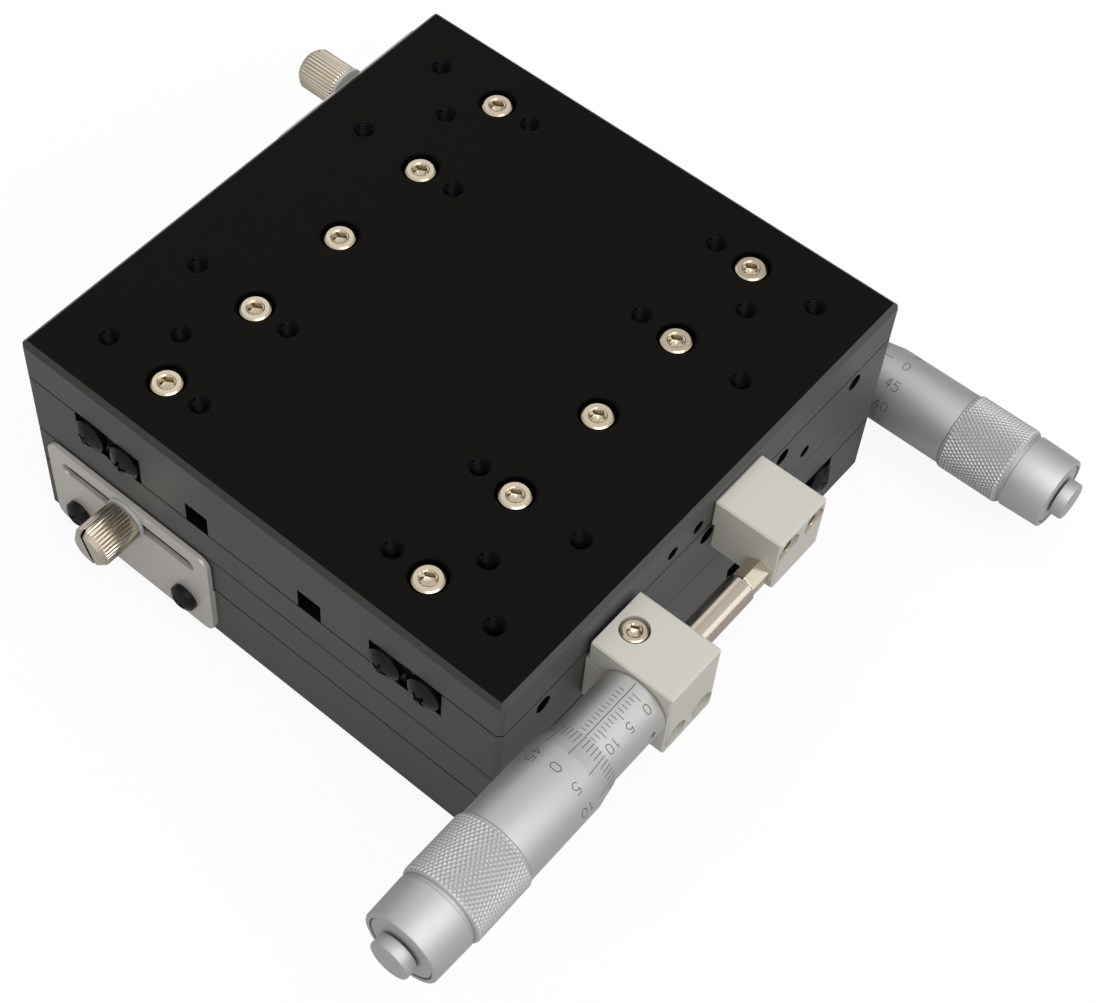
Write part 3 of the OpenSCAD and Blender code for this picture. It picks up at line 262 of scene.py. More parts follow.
def grained(name, colour, rough, vary, bump,
            metallic=0.0, level=0.5, grain=900.0, stretch=(1, 1, 1)):
    """Fine grain in colour, roughness and height, stretched along one axis if brushed."""
    m = bpy.data.materials.new(name)
    m.diffuse_color = (*colour, 1.0)
    tree = fresh_tree(m)
    out = new_node(tree, "OutputMaterial")
    shader = new_node(tree, "BsdfPrincipled", Metallic=metallic, Specular_IOR_Level=level)
    place = new_node(tree, "TexCoord")
    scale = new_node(tree, "Mapping", Scale=stretch)
    fine = new_node(tree, "TexNoise", Scale=grain, Detail=4.0)
    broad = new_node(tree, "TexNoise", Scale=BROAD_GRAIN, Detail=3.0)
    half = math_node(tree, "MULTIPLY", 0.5)
    both = math_node(tree, "MULTIPLY_ADD", 0.5)
    dark, light = ([min(1.0, c * f) for c in colour] for f in (1 - vary, 1 + vary))
    tone = colour_mix(tree, A=dark, B=light)
    wear = new_node(
        tree, "MapRange", From_Min=0.3, From_Max=0.7,
        To_Min=rough * (1 - ROUGH_SPREAD), To_Max=rough * (1 + ROUGH_SPREAD),
    )
    relief = new_node(tree, "Bump", Strength=1.0, Distance=bump * MM)
    connect(
        tree,
        (place, "Object", scale, "Vector"), (scale, "Vector", fine, "Vector"),
        (place, "Object", broad, "Vector"), (broad, "Fac", half, 0),
        (fine, "Fac", both, 0), (half, "Value", both, 2),
        (both, "Value", tone, "Factor"), (tone, "Result", shader, "Base Color"),
        (both, "Value", wear, "Value"), (wear, "Result", shader, "Roughness"),
        (fine, "Fac", relief, "Height"), (relief, "Normal", shader, "Normal"),
        (shader, "BSDF", out, "Surface"),
    )
    return m


# Mesh tools, in millimetres


def polar(r, a, z):
    """A point at a radius, an angle and a height."""
    return (r * math.cos(a), r * math.sin(a), z)


def turned(degrees):
    """A turn round +Z."""
    return Matrix.Rotation(math.radians(degrees), 4, "Z")


def facing(x, y, z, direction):
    """A place at a point with +Z turned along a direction."""
    turn = Vector(direction).to_track_quat("Z", "Y").to_matrix().to_4x4()
    return Matrix.Translation((x, y, z)) @ turn


def in_metres(at):
    """A place in millimetres as one in metres."""
    made = at.copy()
    made.translation = made.translation * MM
    return made


def in_stage(prefix, places):
    """Places in a stage's own frame as places in the part's frame."""
    return [PLACE[prefix] @ at for at in places]


def ribbon(count):
    """Faces of a strip whose vertices come in pairs."""
    return [(2 * k, 2 * k + 1, 2 * k + 3, 2 * k + 2) for k in range(count)]


class Shape:
    """Vertices and faces gathered in millimetres."""

    def __init__(self):
        self.verts = []
        self.faces = []

    def add(self, verts, faces, at=None):
        base = len(self.verts)
        for v in verts:
            self.verts.append(at @ Vector(v) if at is not None else Vector(v))
        for f in faces:
            self.faces.append([base + i for i in f])

    def lathe(self, rings, n, at=None, loop=False):
        """Rings of (radius, height) round +Z. A radius may be a function, and 0 is a pole."""
        verts, starts = [], []
        poles = [not callable(r) and r == 0 for r, _ in rings]
        for (r, z), pole in zip(rings, poles):
            starts.append(len(verts))
            if pole:
                verts.append((0, 0, z))
                continue
            for k in range(n):
                a = 2 * math.pi * k / n
                verts.append(polar(r(a) if callable(r) else r, a, z))
        faces = []
        pairs = list(zip(range(len(rings) - 1), range(1, len(rings))))
        if loop:
            pairs.append((len(rings) - 1, 0))
        for i, j in pairs:
            for k in range(n):
                a, b = k, (k + 1) % n
                if poles[i]:
                    faces.append((starts[i], starts[j] + b, starts[j] + a))
                elif poles[j]:
                    faces.append((starts[i] + a, starts[i] + b, starts[j]))
                else:
                    faces.append((starts[i] + a, starts[i] + b, starts[j] + b, starts[j] + a))
        self.add(verts, faces, at)

    def mesh(self, name):
        me = bpy.data.meshes.new(name)
        me.from_pydata([v * MM for v in self.verts], [], self.faces)
        bm = bmesh.new()
        bm.from_mesh(me)
        bmesh.ops.recalc_face_normals(bm, faces=bm.faces)
        bm.to_mesh(me)
        bm.free()
        return me


def link(obj):
    bpy.context.scene.collection.objects.link(obj)


def shade(me, angle):
    me.polygons.foreach_set("use_smooth", [True] * len(me.polygons))
    me.set_sharp_from_angle(angle=math.radians(angle))
    me.update()


def put(name, me, body, finishes, at=None, nodes=(), slot=None, angle=30.0, flat=False):
    """Makes an object of a mesh, sets it in place, and lets it ride on its body and stand for
    its CAD nodes. The slot argument is not used."""
    for each in finishes:
        me.materials.append(finish(each))
    shade(me, angle)
    obj = bpy.data.objects.new(name, me)
    link(obj)
    if at is not None:
        obj.matrix_world = in_metres(at)
    if flat:
        level = obj.modifiers.new("level_faces", "WEIGHTED_NORMAL")
        level.keep_sharp = True
        level.weight = 100
    if nodes:
        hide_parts(*nodes)
    slot or finishes[0]
    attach(obj, body)


def weld(me, dist=1e-6):
    """Joins the vertices that lie within a distance in metres."""
    bm = bmesh.new()
    bm.from_mesh(me)
    bmesh.ops.remove_doubles(bm, verts=bm.verts, dist=dist)
    bmesh.ops.recalc_face_normals(bm, faces=bm.faces)
    bm.to_mesh(me)
    bm.free()
    return me


def cad_copy(node):
    """A welded copy of a CAD node's mesh, in the row frame, with smooth normals left behind."""
    me = weld(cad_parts[node].data.copy())
    me.materials.clear()
    me.polygons.foreach_set("material_index", [0] * len(me.polygons))
    stale = me.attributes.get("custom_normal")
    if stale:
        me.attributes.remove(stale)
    return me


def carve(me, cutter):
    """The mesh with the cutter's mesh taken away, as a new mesh."""
    a = bpy.data.objects.new("carve_body", me)
    b = bpy.data.objects.new("carve_tool", cutter)
    for o in (a, b):
        link(o)
    cut = a.modifiers.new("cut", "BOOLEAN")
    cut.operation = "DIFFERENCE"
    cut.solver = "EXACT"
    cut.object = b
    dg = bpy.context.evaluated_depsgraph_get()
    made = bpy.data.meshes.new_from_object(a.evaluated_get(dg))
    for o in (a, b):
        bpy.data.objects.remove(o)
    if len(made.polygons) == 0:
        raise RuntimeError("a cut left nothing of " + me.name)
    return made


def break_edges(me, width):
    """Flat faces are merged and every sharp edge gets a small bevel."""
    bm = bmesh.new()
    bm.from_mesh(me)
    bmesh.ops.remove_doubles(bm, verts=bm.verts, dist=2e-7)
    bmesh.ops.dissolve_limit(bm, angle_limit=math.radians(0.5), verts=bm.verts, edges=bm.edges)
    if width > 0:
        limit = math.radians(30)
        sharp = [e for e in bm.edges if len(e.link_faces) == 2 and e.calc_face_angle(0) > limit]
        bmesh.ops.bevel(
            bm, geom=sharp, offset=width, segments=2, profile=0.5, affect="EDGES",
            clamp_overlap=True,
        )
    bm.to_mesh(me)
    bm.free()
    return me


def hex_radius(flats):
    """Radius of a hexagon with a corner towards +Y, as a function of the angle."""
    def r(a):
        # flats' middles lie at 60 k degrees
        turn = math.degrees(a) % 60.0
        return flats / 2 / math.cos(math.radians(min(turn, 60.0 - turn)))
    return r


def cap_screw(shape, at, size, shank_l, length):
    """A cap screw with its seat at the origin, its head up and its shank down, with turned
    thread grooves."""
    head_d, head_h, shank_d, core_d, flats, pitch = size
    r, core_r = head_d / 2, core_d / 2
    rim, lead, groove = 0.09 * head_d, 0.1, 0.12
    socket = hex_radius(flats)
    corner = flats / 2 / math.cos(math.radians(30))
    floor = head_h * 0.5
    shape.lathe([
        (r - lead, 0), (r, lead), (r, head_h - rim), (r - 0.35 * rim, head_h - 0.35 * rim),
        (r - rim, head_h), (corner + 0.22, head_h), (corner + 0.02, head_h - 0.2),
        (socket, head_h - 0.26), (socket, floor), (core_d * 0.28, floor - 0.35),
        (0, floor - 0.42),
    ], 72, at)
    down = [(r - lead, 0), (shank_d / 2, 0), (shank_d / 2, -shank_l)]
    z = -shank_l
    while z - pitch > -length + 0.3:
        down += [
            (core_r - groove, z - 0.15 * pitch), (core_r, z - 0.5 * pitch),
            (core_r - groove, z - 0.95 * pitch),
        ]
        z -= pitch
    down += [(core_r, z - lead), (core_r - 0.3, -length), (0, -length)]
    shape.lathe(down, 40, at)


def pan_head(head_r, head_h):
    """One black pan-head screw with a tapered cross recess, its seat at the origin."""
    dome = 1.5 * head_r
    middle_z = head_h - dome
    foot = (head_r - 0.15, 0)
    rings = [foot, (head_r, 0.12), (head_r, middle_z + math.sqrt(dome ** 2 - head_r ** 2))]
    edge, steps = math.asin(head_r / dome), 9
    for k in range(1, steps):
        a = edge * (1 - k / steps)
        rings.append((dome * math.sin(a), dome * math.cos(a) + middle_z))
    rings.append((0, head_h))
    shape = Shape()
    shape.lathe(rings, 64)
    shape.lathe([foot, (1.6, 0), (1.6, -5.6), (1.3, -5.98), (0, -5.98)], 32)
    me = weld(shape.mesh("pan_head"))
    top, low = head_h + 0.4, head_h - 1.75
    # half the length and half the width of a blade, above the head and at its lower end
    a, b, c, d = 2.25, 0.5, 0.85, 0.32
    for turn in (0, 90):
        blade = Shape()
        blade.add(
            [(-a, -b, top), (a, -b, top), (a, b, top), (-a, b, top),
             (-c, -d, low), (c, -d, low), (c, d, low), (-c, d, low)],
            [(0, 1, 2, 3), (7, 6, 5, 4), (0, 4, 5, 1), (1, 5, 6, 2), (2, 6, 7, 3), (3, 7, 4, 0)],
            turned(turn),
        )
        me = carve(me, blade.mesh("cross_blade"))
    middle = Shape()
    middle.lathe([(0, head_h - 2.05), (0.55, head_h - 1.8), (1.15, top), (0, top)], 24)
    return carve(me, middle.mesh("cross_middle"))


def repeat(me, places):
    """One mesh with a copy of another at each place, in millimetres."""
    bm = bmesh.new()
    for at in places:
        copy = me.copy()
        copy.transform(in_metres(at))
        bm.from_mesh(copy)
        bpy.data.meshes.remove(copy)
    made = bpy.data.meshes.new(me.name + "_group")
    bm.to_mesh(made)
    bm.free()
    return made


def hole_tool(shape, at, r, depth, rim_r, n):
    """Cutter for a hole: depth down from the face at the origin, widened at the mouth to rim_r."""
    drop, above = rim_r - r, 0.5
    shape.lathe(
        [(0, -depth), (r, -depth), (r, -drop), (rim_r + above, above), (0, above)], n, at,
    )


def thread_liner(shape, at, thread, depth, start):
    """The helical wall of a tapped hole, from start below the face down to depth."""
    major, minor, pitch = thread
    n = 28
    steps = int((depth - start - pitch) / pitch * n)
    root = major + 0.02
    profile = [(root, 0.0), (minor, 0.42), (minor, 0.58), (root, 1.0)]
    verts, faces = [], []
    for k in range(steps + 1):
        z = -depth + pitch * k / n
        verts += [polar(r, 2 * math.pi * k / n, z + share * pitch) for r, share in profile]
    for k in range(steps):
        for j in range(3):
            a = 4 * k + j
            faces.append((a, a + 4, a + 5, a + 1))
    shape.add(verts, faces, at)


def arc(cx, cy, rx, ry, start, end):
    """Points along a part of an ellipse, from one angle to another."""
    n = 14
    angles = [math.radians(start + (end - start) * k / n) for k in range(n + 1)]
    return [(cx + rx * math.cos(a), cy + ry * math.sin(a)) for a in angles]


# Lines of each digit in a box DIGIT_W wide and 1 high
DIGIT_W, DIGIT_GAP = 0.6, 0.24
DIGITS = {
    "0": [arc(0.3, 0.7, 0.28, 0.3, 0, 180) + arc(0.3, 0.3, 0.28, 0.3, 180, 360) + [(0.58, 0.7)]],
    "1": [[(0.14, 0.8), (0.34, 1.0), (0.34, 0.0)]],
    "2": [arc(0.3, 0.72, 0.27, 0.28, 165, -35) + [(0.03, 0.0), (0.59, 0.0)]],
    "3": [arc(0.28, 0.76, 0.25, 0.24, 155, -90) + arc(0.28, 0.26, 0.3, 0.26, 90, -155)],
    "4": [[(0.43, 0.0), (0.43, 1.0), (0.0, 0.3), (0.6, 0.3)]],
    "5": [[(0.53, 1.0), (0.12, 1.0), (0.07, 0.56)] + arc(0.28, 0.33, 0.3, 0.33, 128, -150)],
}


def draw_line(shape, points, width, to_surface):
    """A flat ribbon along points in the plane (along, up), laid on a surface."""
    fine = [Vector(points[0])]
    for a, b in zip(points, points[1:]):
        a, b = Vector(a), Vector(b)
        parts = max(1, int((b - a).length / 0.35))
        fine += [a.lerp(b, (k + 1) / parts) for k in range(parts)]
    last = len(fine) - 1
    verts = []
    for i, p in enumerate(fine):
        along = (fine[min(last, i + 1)] - fine[max(0, i - 1)]).normalized()
        side = Vector((-along.y, along.x)) * width / 2
        ends = 0.5 * width * along
        here = p - ends if i == 0 else p + ends if i == last else p
        verts += [to_surface(here + side), to_surface(here - side)]
    shape.add(verts, ribbon(last))


def draw_number(shape, text, s, angle, height, width, radius):
    """Digits read away from the block, their tops towards smaller angles."""
    gap, wide = DIGIT_GAP * height, DIGIT_W * height
    total = len(text) * wide + (len(text) - 1) * gap

    def to_surface(p):
        a = math.radians(angle) - (p[1] - height / 2) / radius
        return polar(radius, a, s - total / 2 + p[0])

    for i, ch in enumerate(text):
        for line in DIGITS[ch]:
            points = [(i * (wide + gap) + x * height, y * height) for x, y in line]
            draw_line(shape, points, width, to_surface)


# Operators, one for each piece or group of like pieces


class STAGE_OT_plates(bpy.types.Operator):
    """Bases and tables with tapped holes, counterbores and broken edges"""

    bl_idname = "stage.plates"
    bl_label = "Bases and tables"

    def execute(self, context):
        for prefix in PREFIXES:
            self.base(prefix)
            self.table(prefix)
        return {"FINISHED"}

    def base(self, prefix):
        holes = [(facing(HALF_W, y, PRELOAD_Z, OUT), M4, 4.05, 2.0) for y in RAIL_ROWS]
        for dy in (-PAIR, PAIR):
            holes.append((facing(HALF_W, -BLOCK_Y + dy, BLOCK_SCREW_Z, OUT), M3, 6.9, 1.5))
        self.machine(prefix, "base", FIXED[prefix], holes, [])

    def table(self, prefix):
        holes = [
            (facing(HALF_W, -ANVIL_Y + dy, ANVIL_Z, OUT), M3, 7.0, 1.5) for dy in (PAIR, -PAIR)
        ]
        spots = [(JOIN_SPOT[1], JOIN_SPOT[0])]
        if prefix == "upper":
            grid = (HOLE_GRID, 2 * HOLE_GRID)
            spots = [(x, y) for x in grid for y in grid] + [(DIAGONAL_HOLE, DIAGONAL_HOLE)]
        holes += [
            (facing(sx * x, sy * y, TABLE_TOP, UP), M4, 7.95, 2.3)
            for x, y in spots for sx, sy in CORNERS
        ]
        bores = [
            (facing(sx * INNER_SCREW_X, y, TABLE_TOP, UP), 4.03, 4.69, 4.42)
            for y in RAIL_ROWS for sx in SIGNS
        ]
        self.machine(prefix, "table", MOVING[prefix], holes, bores)

    def machine(self, prefix, what, body, holes, bores):
        """Recuts the holes finely, lines the tapped ones with a thread and breaks the edges."""
        node = prefix + "_" + what
        place = PLACE[prefix]
        tool, liner = Shape(), Shape()
        for at, thread, depth, rim_r in holes:
            major = thread[0]
            hole_tool(tool, place @ at, major, depth, rim_r, 40)
            thread_liner(liner, place @ at, thread, depth, rim_r - major)
        for at, r, depth, rim_r in bores:
            hole_tool(tool, place @ at, r, depth, rim_r, 72)
        me = carve(cad_copy(node), tool.mesh("hole_tool"))
        break_edges(me, sizes().edge_break)
        me.polygons.foreach_set("material_index", [self.finish_number(p) for p in me.polygons])
        # the top's black anodising, then copies of it with painted light on the sides, a painted
        # highlight on the chamfers and painted shade inside
        finishes = ["anodised_top", "anodised_sides", "anodised_edges", "anodised_inside"]
        put(node + "_body", me, body, finishes, nodes=[node], slot="black_anodised", flat=True)
        # the thread walls are darkened as painted shade in the holes
        put(
            node + "_threads", liner.mesh(node + "_threads"), body, ["black_thread"],
            slot="black_anodised", angle=50,
        )

    def finish_number(self, face):
        """Which finish a face of a plate gets: top, side, chamfer or inside. Side, chamfer and
        inside are copies of the top's black anodising with painted light, a painted highlight and
        painted shade.
        """
        top, side, chamfer, inside = range(4)
        centre = face.center / MM
        inward = max(abs(centre.x), abs(centre.y)) < HALF_W - 1.2
        if face.normal.z > 0.97:
            at_top = abs(centre.z - (STAGE_RISE + TABLE_TOP)) < 1.5
            return top if at_top or not inward else inside
        if inward:
            return inside
        return chamfer if face.normal.z > 0.3 else side


class STAGE_OT_cap_screws(bpy.types.Operator):
    """Hex-socket cap screws of the rails, the blocks and the joint between the stages"""

    bl_idname = "stage.cap_screws"
    bl_label = "Cap screws"

    def execute(self, context):
        rows = [(sx, y) for y in RAIL_ROWS for sx in SIGNS]
        table = [facing(sx * INNER_SCREW_X, y, INNER_SEAT_Z, UP) for sx, y in rows]
        base = [facing(sx * OUTER_SCREW_X, y, OUTER_SEAT_Z, DOWN) for sx, y in rows]
        x, y = JOIN_SPOT
        join = [facing(sx * x, sy * y, JOIN_SEAT_Z, UP) for sx, sy in CORNERS]
        # length of the shank from the seat to the thread, for a base's and a table's screws
        short, tall, length = 4.5, 6.2, 12.0
        low_base, low_table = in_stage("lower", base), in_stage("lower", table)
        high_base, high_table = in_stage("upper", base), in_stage("upper", table)
        self.group("lower_base_rail_screws", "fixed_base", M4_CAP, length, (low_base, short))
        self.group(
            "middle_rail_screws", "middle_table", M4_CAP, length,
            (low_table, tall), (high_base, short),
        )
        self.group("upper_table_rail_screws", "top_table", M4_CAP, length, (high_table, tall))
        join = in_stage("upper", join)
        self.group("join_screws", "middle_table", M4_CAP, 10.0, (join, short))
        for prefix in PREFIXES:
            place = PLACE[prefix]
            pair = (-PAIR, PAIR)
            block = [place @ facing(BLOCK_X, BLOCK_Y + dy, BLOCK_SCREW_Z, OUT) for dy in pair]
            clamp = [place @ facing(CLAMP_X, BLOCK_Y, CLAMP_Z, UP)]
            anvil = [place @ facing(ANVIL_X, ANVIL_Y + dy, ANVIL_Z, OUT) for dy in pair]
            self.group(prefix + "_block_screws", FIXED[prefix], M3_CAP, 12.0, (block, 6.0))
            self.group(prefix + "_clamp_screw", FIXED[prefix], M3_CAP, 8.0, (clamp, 3.35))
            self.group(prefix + "_anvil_screws", MOVING[prefix], M3_CAP, 20.0, (anvil, 12.4))
        return {"FINISHED"}

    def group(self, node, body, size, length, *sets):
        """Screws of one size as one object, in sets of places that share a shank length."""
        shape = Shape()
        for places, shank_l in sets:
            for at in places:
                cap_screw(shape, at, size, shank_l, length)
        put(node + "_detail", shape.mesh(node), body, ["nickel_screw"], nodes=[node], angle=25)


class STAGE_OT_pan_screws(bpy.types.Operator):
    """Black pan-head screws with cross recesses, at the rails' ends and on the lock plates"""

    bl_idname = "stage.pan_screws"
    bl_label = "Pan-head screws"

    def execute(self, context):
        rail_head, plate_head = pan_head(*RAIL_HEAD), pan_head(*PLATE_HEAD)
        inner, outer = self.ends(INNER_RAIL_X, 12), self.ends(OUTER_RAIL_X, 70)
        middle = in_stage("lower", inner) + in_stage("upper", outer)
        self.group("lower_base_end_screws", "fixed_base", rail_head, in_stage("lower", outer))
        self.group("middle_end_screws", "middle_table", rail_head, middle)
        self.group("upper_table_end_screws", "top_table", rail_head, in_stage("upper", inner))
        for prefix in PREFIXES:
            places = [
                PLACE[prefix] @ facing(LOCK_X, LOCK_Y + dy, PLATE_SCREW_Z, BACK)
                @ turned(20 + 3 * dy)
                for dy in (-PLATE_SCREW_Y, PLATE_SCREW_Y)
            ]
            self.group(prefix + "_lock_plate_screws", FIXED[prefix], plate_head, places)
        return {"FINISHED"}

    def ends(self, x, turn):
        """Places of the screws at the four ends of two rails, each turned in its own way."""
        return [
            facing(sx * x, sy * RAIL_END, RAIL_Z, (0, sy, 0)) @ turned(turn + 37 * sx + 61 * sy)
            for sx, sy in CORNERS
        ]

    def group(self, node, body, head, places):
        me = repeat(head, places)
        put(node + "_detail", me, body, ["black_screw"], nodes=[node], angle=28)


class STAGE_OT_micrometers(bpy.types.Operator):
    """Sleeves, thimbles, caps, ratchet buttons and spindles with knurls and scales"""

    bl_idname = "stage.micrometers"
    bl_label = "Micrometer heads"

    def execute(self, context):
        for prefix in PREFIXES:
            at = PLACE[prefix] @ AXIS
            self.sleeve(prefix, at)
            self.sleeve_scale(prefix, at)
            self.thimble(prefix, at)
            self.thimble_scale(prefix, at)
            self.plain_pieces(prefix, at)
        return {"FINISHED"}

    def sleeve(self, prefix, at):
        r, bore, round_r = SLEEVE_R, STEM_BORE_R, 0.9
        middle_r, middle_s = r - round_r, COLLAR_S + round_r
        rings = [
            (bore, 23.0), (4.5, 23.0), (STEM_R, 23.26), (STEM_R, COLLAR_S), (middle_r, COLLAR_S),
        ]
        for degrees in (15, 30, 45, 60, 75, 90):
            a = math.radians(degrees)
            rings.append((middle_r + round_r * math.sin(a), middle_s - round_r * math.cos(a)))
        rings += [
            (r, SLEEVE_END_S - 0.2), (r - 0.2, SLEEVE_END_S), (5.0, SLEEVE_END_S),
            (5.0, 40.0), (bore, 40.0),
        ]
        shape = Shape()
        shape.lathe(rings, 128, loop=True)
        # the blind hole for a spanner, across the collar
        side = Matrix.Translation((r - 2.3, 0, 42.2)) @ Matrix.Rotation(math.radians(90), 4, "Y")
        hole = Shape()
        hole.lathe([(0, 0), (0.75, 0), (0.75, 3), (0, 3)], 32, turned(7) @ side)
        node = prefix + "_sleeve"
        me = carve(shape.mesh(node), hole.mesh("spanner_tool"))
        put(node + "_body", me, FIXED[prefix], ["satin_chrome"], at, [node])

    def sleeve_scale(self, prefix, at):
        marks = Shape()
        lift = SLEEVE_R + MARK_LIFT
        width = sizes().mark_width / MM
        tall = sizes().digit_height / MM * 0.96

        def to_surface(s, degrees):
            return polar(lift, math.radians(degrees), s)

        def tick(s, a0, a1):
            steps = max(2, int(abs(a1 - a0) / 3))
            verts = []
            for k in range(steps + 1):
                a = a0 + (a1 - a0) * k / steps
                verts += [to_surface(s - width / 2, a), to_surface(s + width / 2, a)]
            marks.add(verts, ribbon(steps))

        spread = math.degrees(width * 1.1 / 2 / SLEEVE_R)
        low, high = SCALE_ANGLE - spread, SCALE_ANGLE + spread
        line = ((39.1, low), (39.1, high), (69.7, high), (69.7, low))
        marks.add([to_surface(*p) for p in line], [(0, 1, 2, 3)])
        for mm in range(TRAVEL + 1):
            s = SCALE_START_S + mm
            tick(s, 83.5, 66.3 if mm % 5 == 0 else 72.6)
            if mm < TRAVEL:
                tick(s + 0.5, 94.5, 103.6)
            if mm % 5 == 0:
                draw_number(marks, str(mm), s, 52.0, tall, width * 1.15, lift)
        name = prefix + "_sleeve_marks"
        put(name, marks.mesh(name), FIXED[prefix], ["scale_ink"], at, slot="satin_chrome")

    def thimble(self, prefix, at):
        shape = Shape()
        count = sizes().knurl_count
        low = GRIP_R - sizes().knurl_depth / MM
        rings = [
            (7.5, 53.62), (7.54, 53.6), BEVEL_START, BEVEL_END, (THIMBLE_R, 58.66),
            (THIMBLE_R, 78.2), (low - 0.32, 78.2), (low - 0.05, 78.45), (low - 0.05, 93.05),
            (low - 0.3, 93.3), (8.1, 93.3), (8.1, 94.1), (6.5, 94.1), (6.5, 88.0),
            (3.0, 88.0), (3.0, 84.0), (7.5, 84.0),
        ]
        shape.lathe(rings, 2 * count, loop=True)
        self.knurl(shape, count, 78.48, 93.02, low, GRIP_R)
        node = prefix + "_thimble"
        put(node + "_body", shape.mesh(node), node, ["satin_chrome"], at, [node], angle=26)

    def thimble_scale(self, prefix, at):
        marks = Shape()
        width = sizes().mark_width / MM
        tall = sizes().digit_height / MM * 1.06
        (start_r, start_s), (end_r, end_s) = BEVEL_START, BEVEL_END
        slope = (end_r - start_r) / (end_s - start_s)
        for k in range(DIVISIONS):
            degrees = ZERO_ANGLE - 360 / DIVISIONS * k
            a = math.radians(degrees)
            stations = [53.64, 55.0, 56.2] if k % 5 else [53.64, 56.0, 58.5, 58.7, 59.0]
            verts = []
            for s in stations:
                r = min(start_r + (s - start_s) * slope, THIMBLE_R) + MARK_LIFT
                half = width / 2 / r
                verts += [polar(r, a - half, s), polar(r, a + half, s)]
            marks.add(verts, ribbon(len(stations) - 1))
            if k % 5 == 0:
                draw_number(
                    marks, str(k), 62.4, degrees, tall, width * 1.15, THIMBLE_R + MARK_LIFT,
                )
        body = prefix + "_thimble"
        me = marks.mesh(body + "_marks")
        put(body + "_marks", me, body, ["scale_ink"], at, slot="satin_chrome")

    def knurl(self, shape, n, z0, z1, low, crest):
        """Raised diamonds between two crossing sets of grooves."""
        rows = 2 * round((z1 - z0) / 1.45)
        step_z = (z1 - z0) / rows
        step_a = math.pi / n

        def point(c, row, r):
            return Vector(polar(r, c * step_a, z0 + row * step_z))

        verts, faces = [], []
        for row in range(rows + 1):
            for c in range(2 * n):
                if (c + row) % 2 == 0:
                    continue
                base = len(verts)
                if row in (0, rows):
                    inner = (c, row + 1) if row == 0 else (c, row - 1)
                    verts += [point(c - 1, row, low), point(c + 1, row, low), point(*inner, low)]
                    faces.append((base, base + 1, base + 2))
                    skirt = Vector((0, 0, -0.12 if row == 0 else 0.12))
                    verts += [point(k, row, low - 0.2) + skirt for k in (c - 1, c + 1)]
                    faces.append((base, base + 1, base + 4, base + 3))
                    continue
                corners = [(c - 1, row), (c, row + 1), (c + 1, row), (c, row - 1)]
                middle = point(c, row, crest)
                verts += [point(*k, low) for k in corners]
                verts += [point(*k, crest).lerp(middle, 0.6) for k in corners]
                for i in range(4):
                    j = (i + 1) % 4
                    faces.append((base + i, base + j, base + 4 + j, base + 4 + i))
                faces.append((base + 4, base + 5, base + 6, base + 7))
        shape.add(verts, faces)

    def plain_pieces(self, prefix, at):
        """The cap with its plug, the ratchet button and the spindle."""
        cap = [
            (3.0, 88.5), (6.45, 88.5), (6.5, 94.1), (8.35, 94.1), (8.5, 94.25), (8.27, 103.2),
            (8.1, 103.48), (7.85, 103.6), (7.28, 103.6), (7.22, 103.5), (7.22, 102.75),
            (6.95, 102.75), (6.92, 103.35), (6.6, 103.45), (4.0, 103.56), (1.54, 103.6),
            (1.54, 96.0), (0, 96.0),
        ]
        plug = [(3.0, 88.5), (3.0, 92.5), (0, 92.5)]
        button = [
            (0, 97.0), (1.5, 97.0), (1.5, 104.0), (4.2, 104.0), (4.35, 104.15),
            (4.33, 106.35), (4.2, 106.6), (3.95, 106.7), (0, 106.7),
        ]
        spindle = [
            (0, 5.42), (2.95, 5.42), (3.175, 5.62), (3.175, 53.98), (2.0, 53.98),
            (2.0, 61.8), (1.8, 62.0), (0, 62.0),
        ]
        for what, body, node, look, sides, profiles in (
            ("cap", "thimble", "thimble_cap", "satin_chrome", 128, (cap, plug)),
            ("button", "ratchet", "ratchet_button", "satin_chrome", 96, (button,)),
            ("spindle", "spindle", "spindle", "ground_steel", 96, (spindle,)),
        ):
            shape = Shape()
            for rings in profiles:
                shape.lathe(rings, sides)
            put(
                f"{prefix}_{what}_body", shape.mesh(f"{prefix}_{what}"), f"{prefix}_{body}",
                [look], at, [f"{prefix}_{node}"],
            )


class STAGE_OT_blocks(bpy.types.Operator):
    """Micrometer and anvil blocks with broken edges, and the hex-headed anvil pins"""

    bl_idname = "stage.blocks"
    bl_label = "Blocks and anvil pins"

    def execute(self, context):
        for prefix in PREFIXES:
            for what, bodies in (("_micrometer_block", FIXED), ("_anvil_block", MOVING)):
                node, body = prefix + what, bodies[prefix]
                # the counterbores leave only 0.2 mm of the face above the lower chamfer
                me = break_edges(cad_copy(node), sizes().edge_break * 0.6)
                put(node + "_body", me, body, ["pale_anodised"], nodes=[node], flat=True)
            self.pin(prefix)
        return {"FINISHED"}

    def pin(self, prefix):
        hexagon, front = hex_radius(5.0), hex_radius(4.7)
        shape = Shape()
        shape.lathe(
            [(0, -5.4), (2.1, -5.4), (front, -5.1), (hexagon, -4.85), (hexagon, 0.5), (0, 0.5)],
            72, Matrix.Rotation(math.radians(180), 4, "X"),
        )
        shape.lathe([(1.2, -0.5), (1.2, -8.3), (1.0, -8.5), (0, -8.5)], 32)
        put(
            prefix + "_anvil_pin_body", shape.mesh(prefix + "_pin"), MOVING[prefix],
            ["knob_nickel"], PLACE[prefix] @ AXIS, [prefix + "_anvil_pin"], "ground_steel",
        )


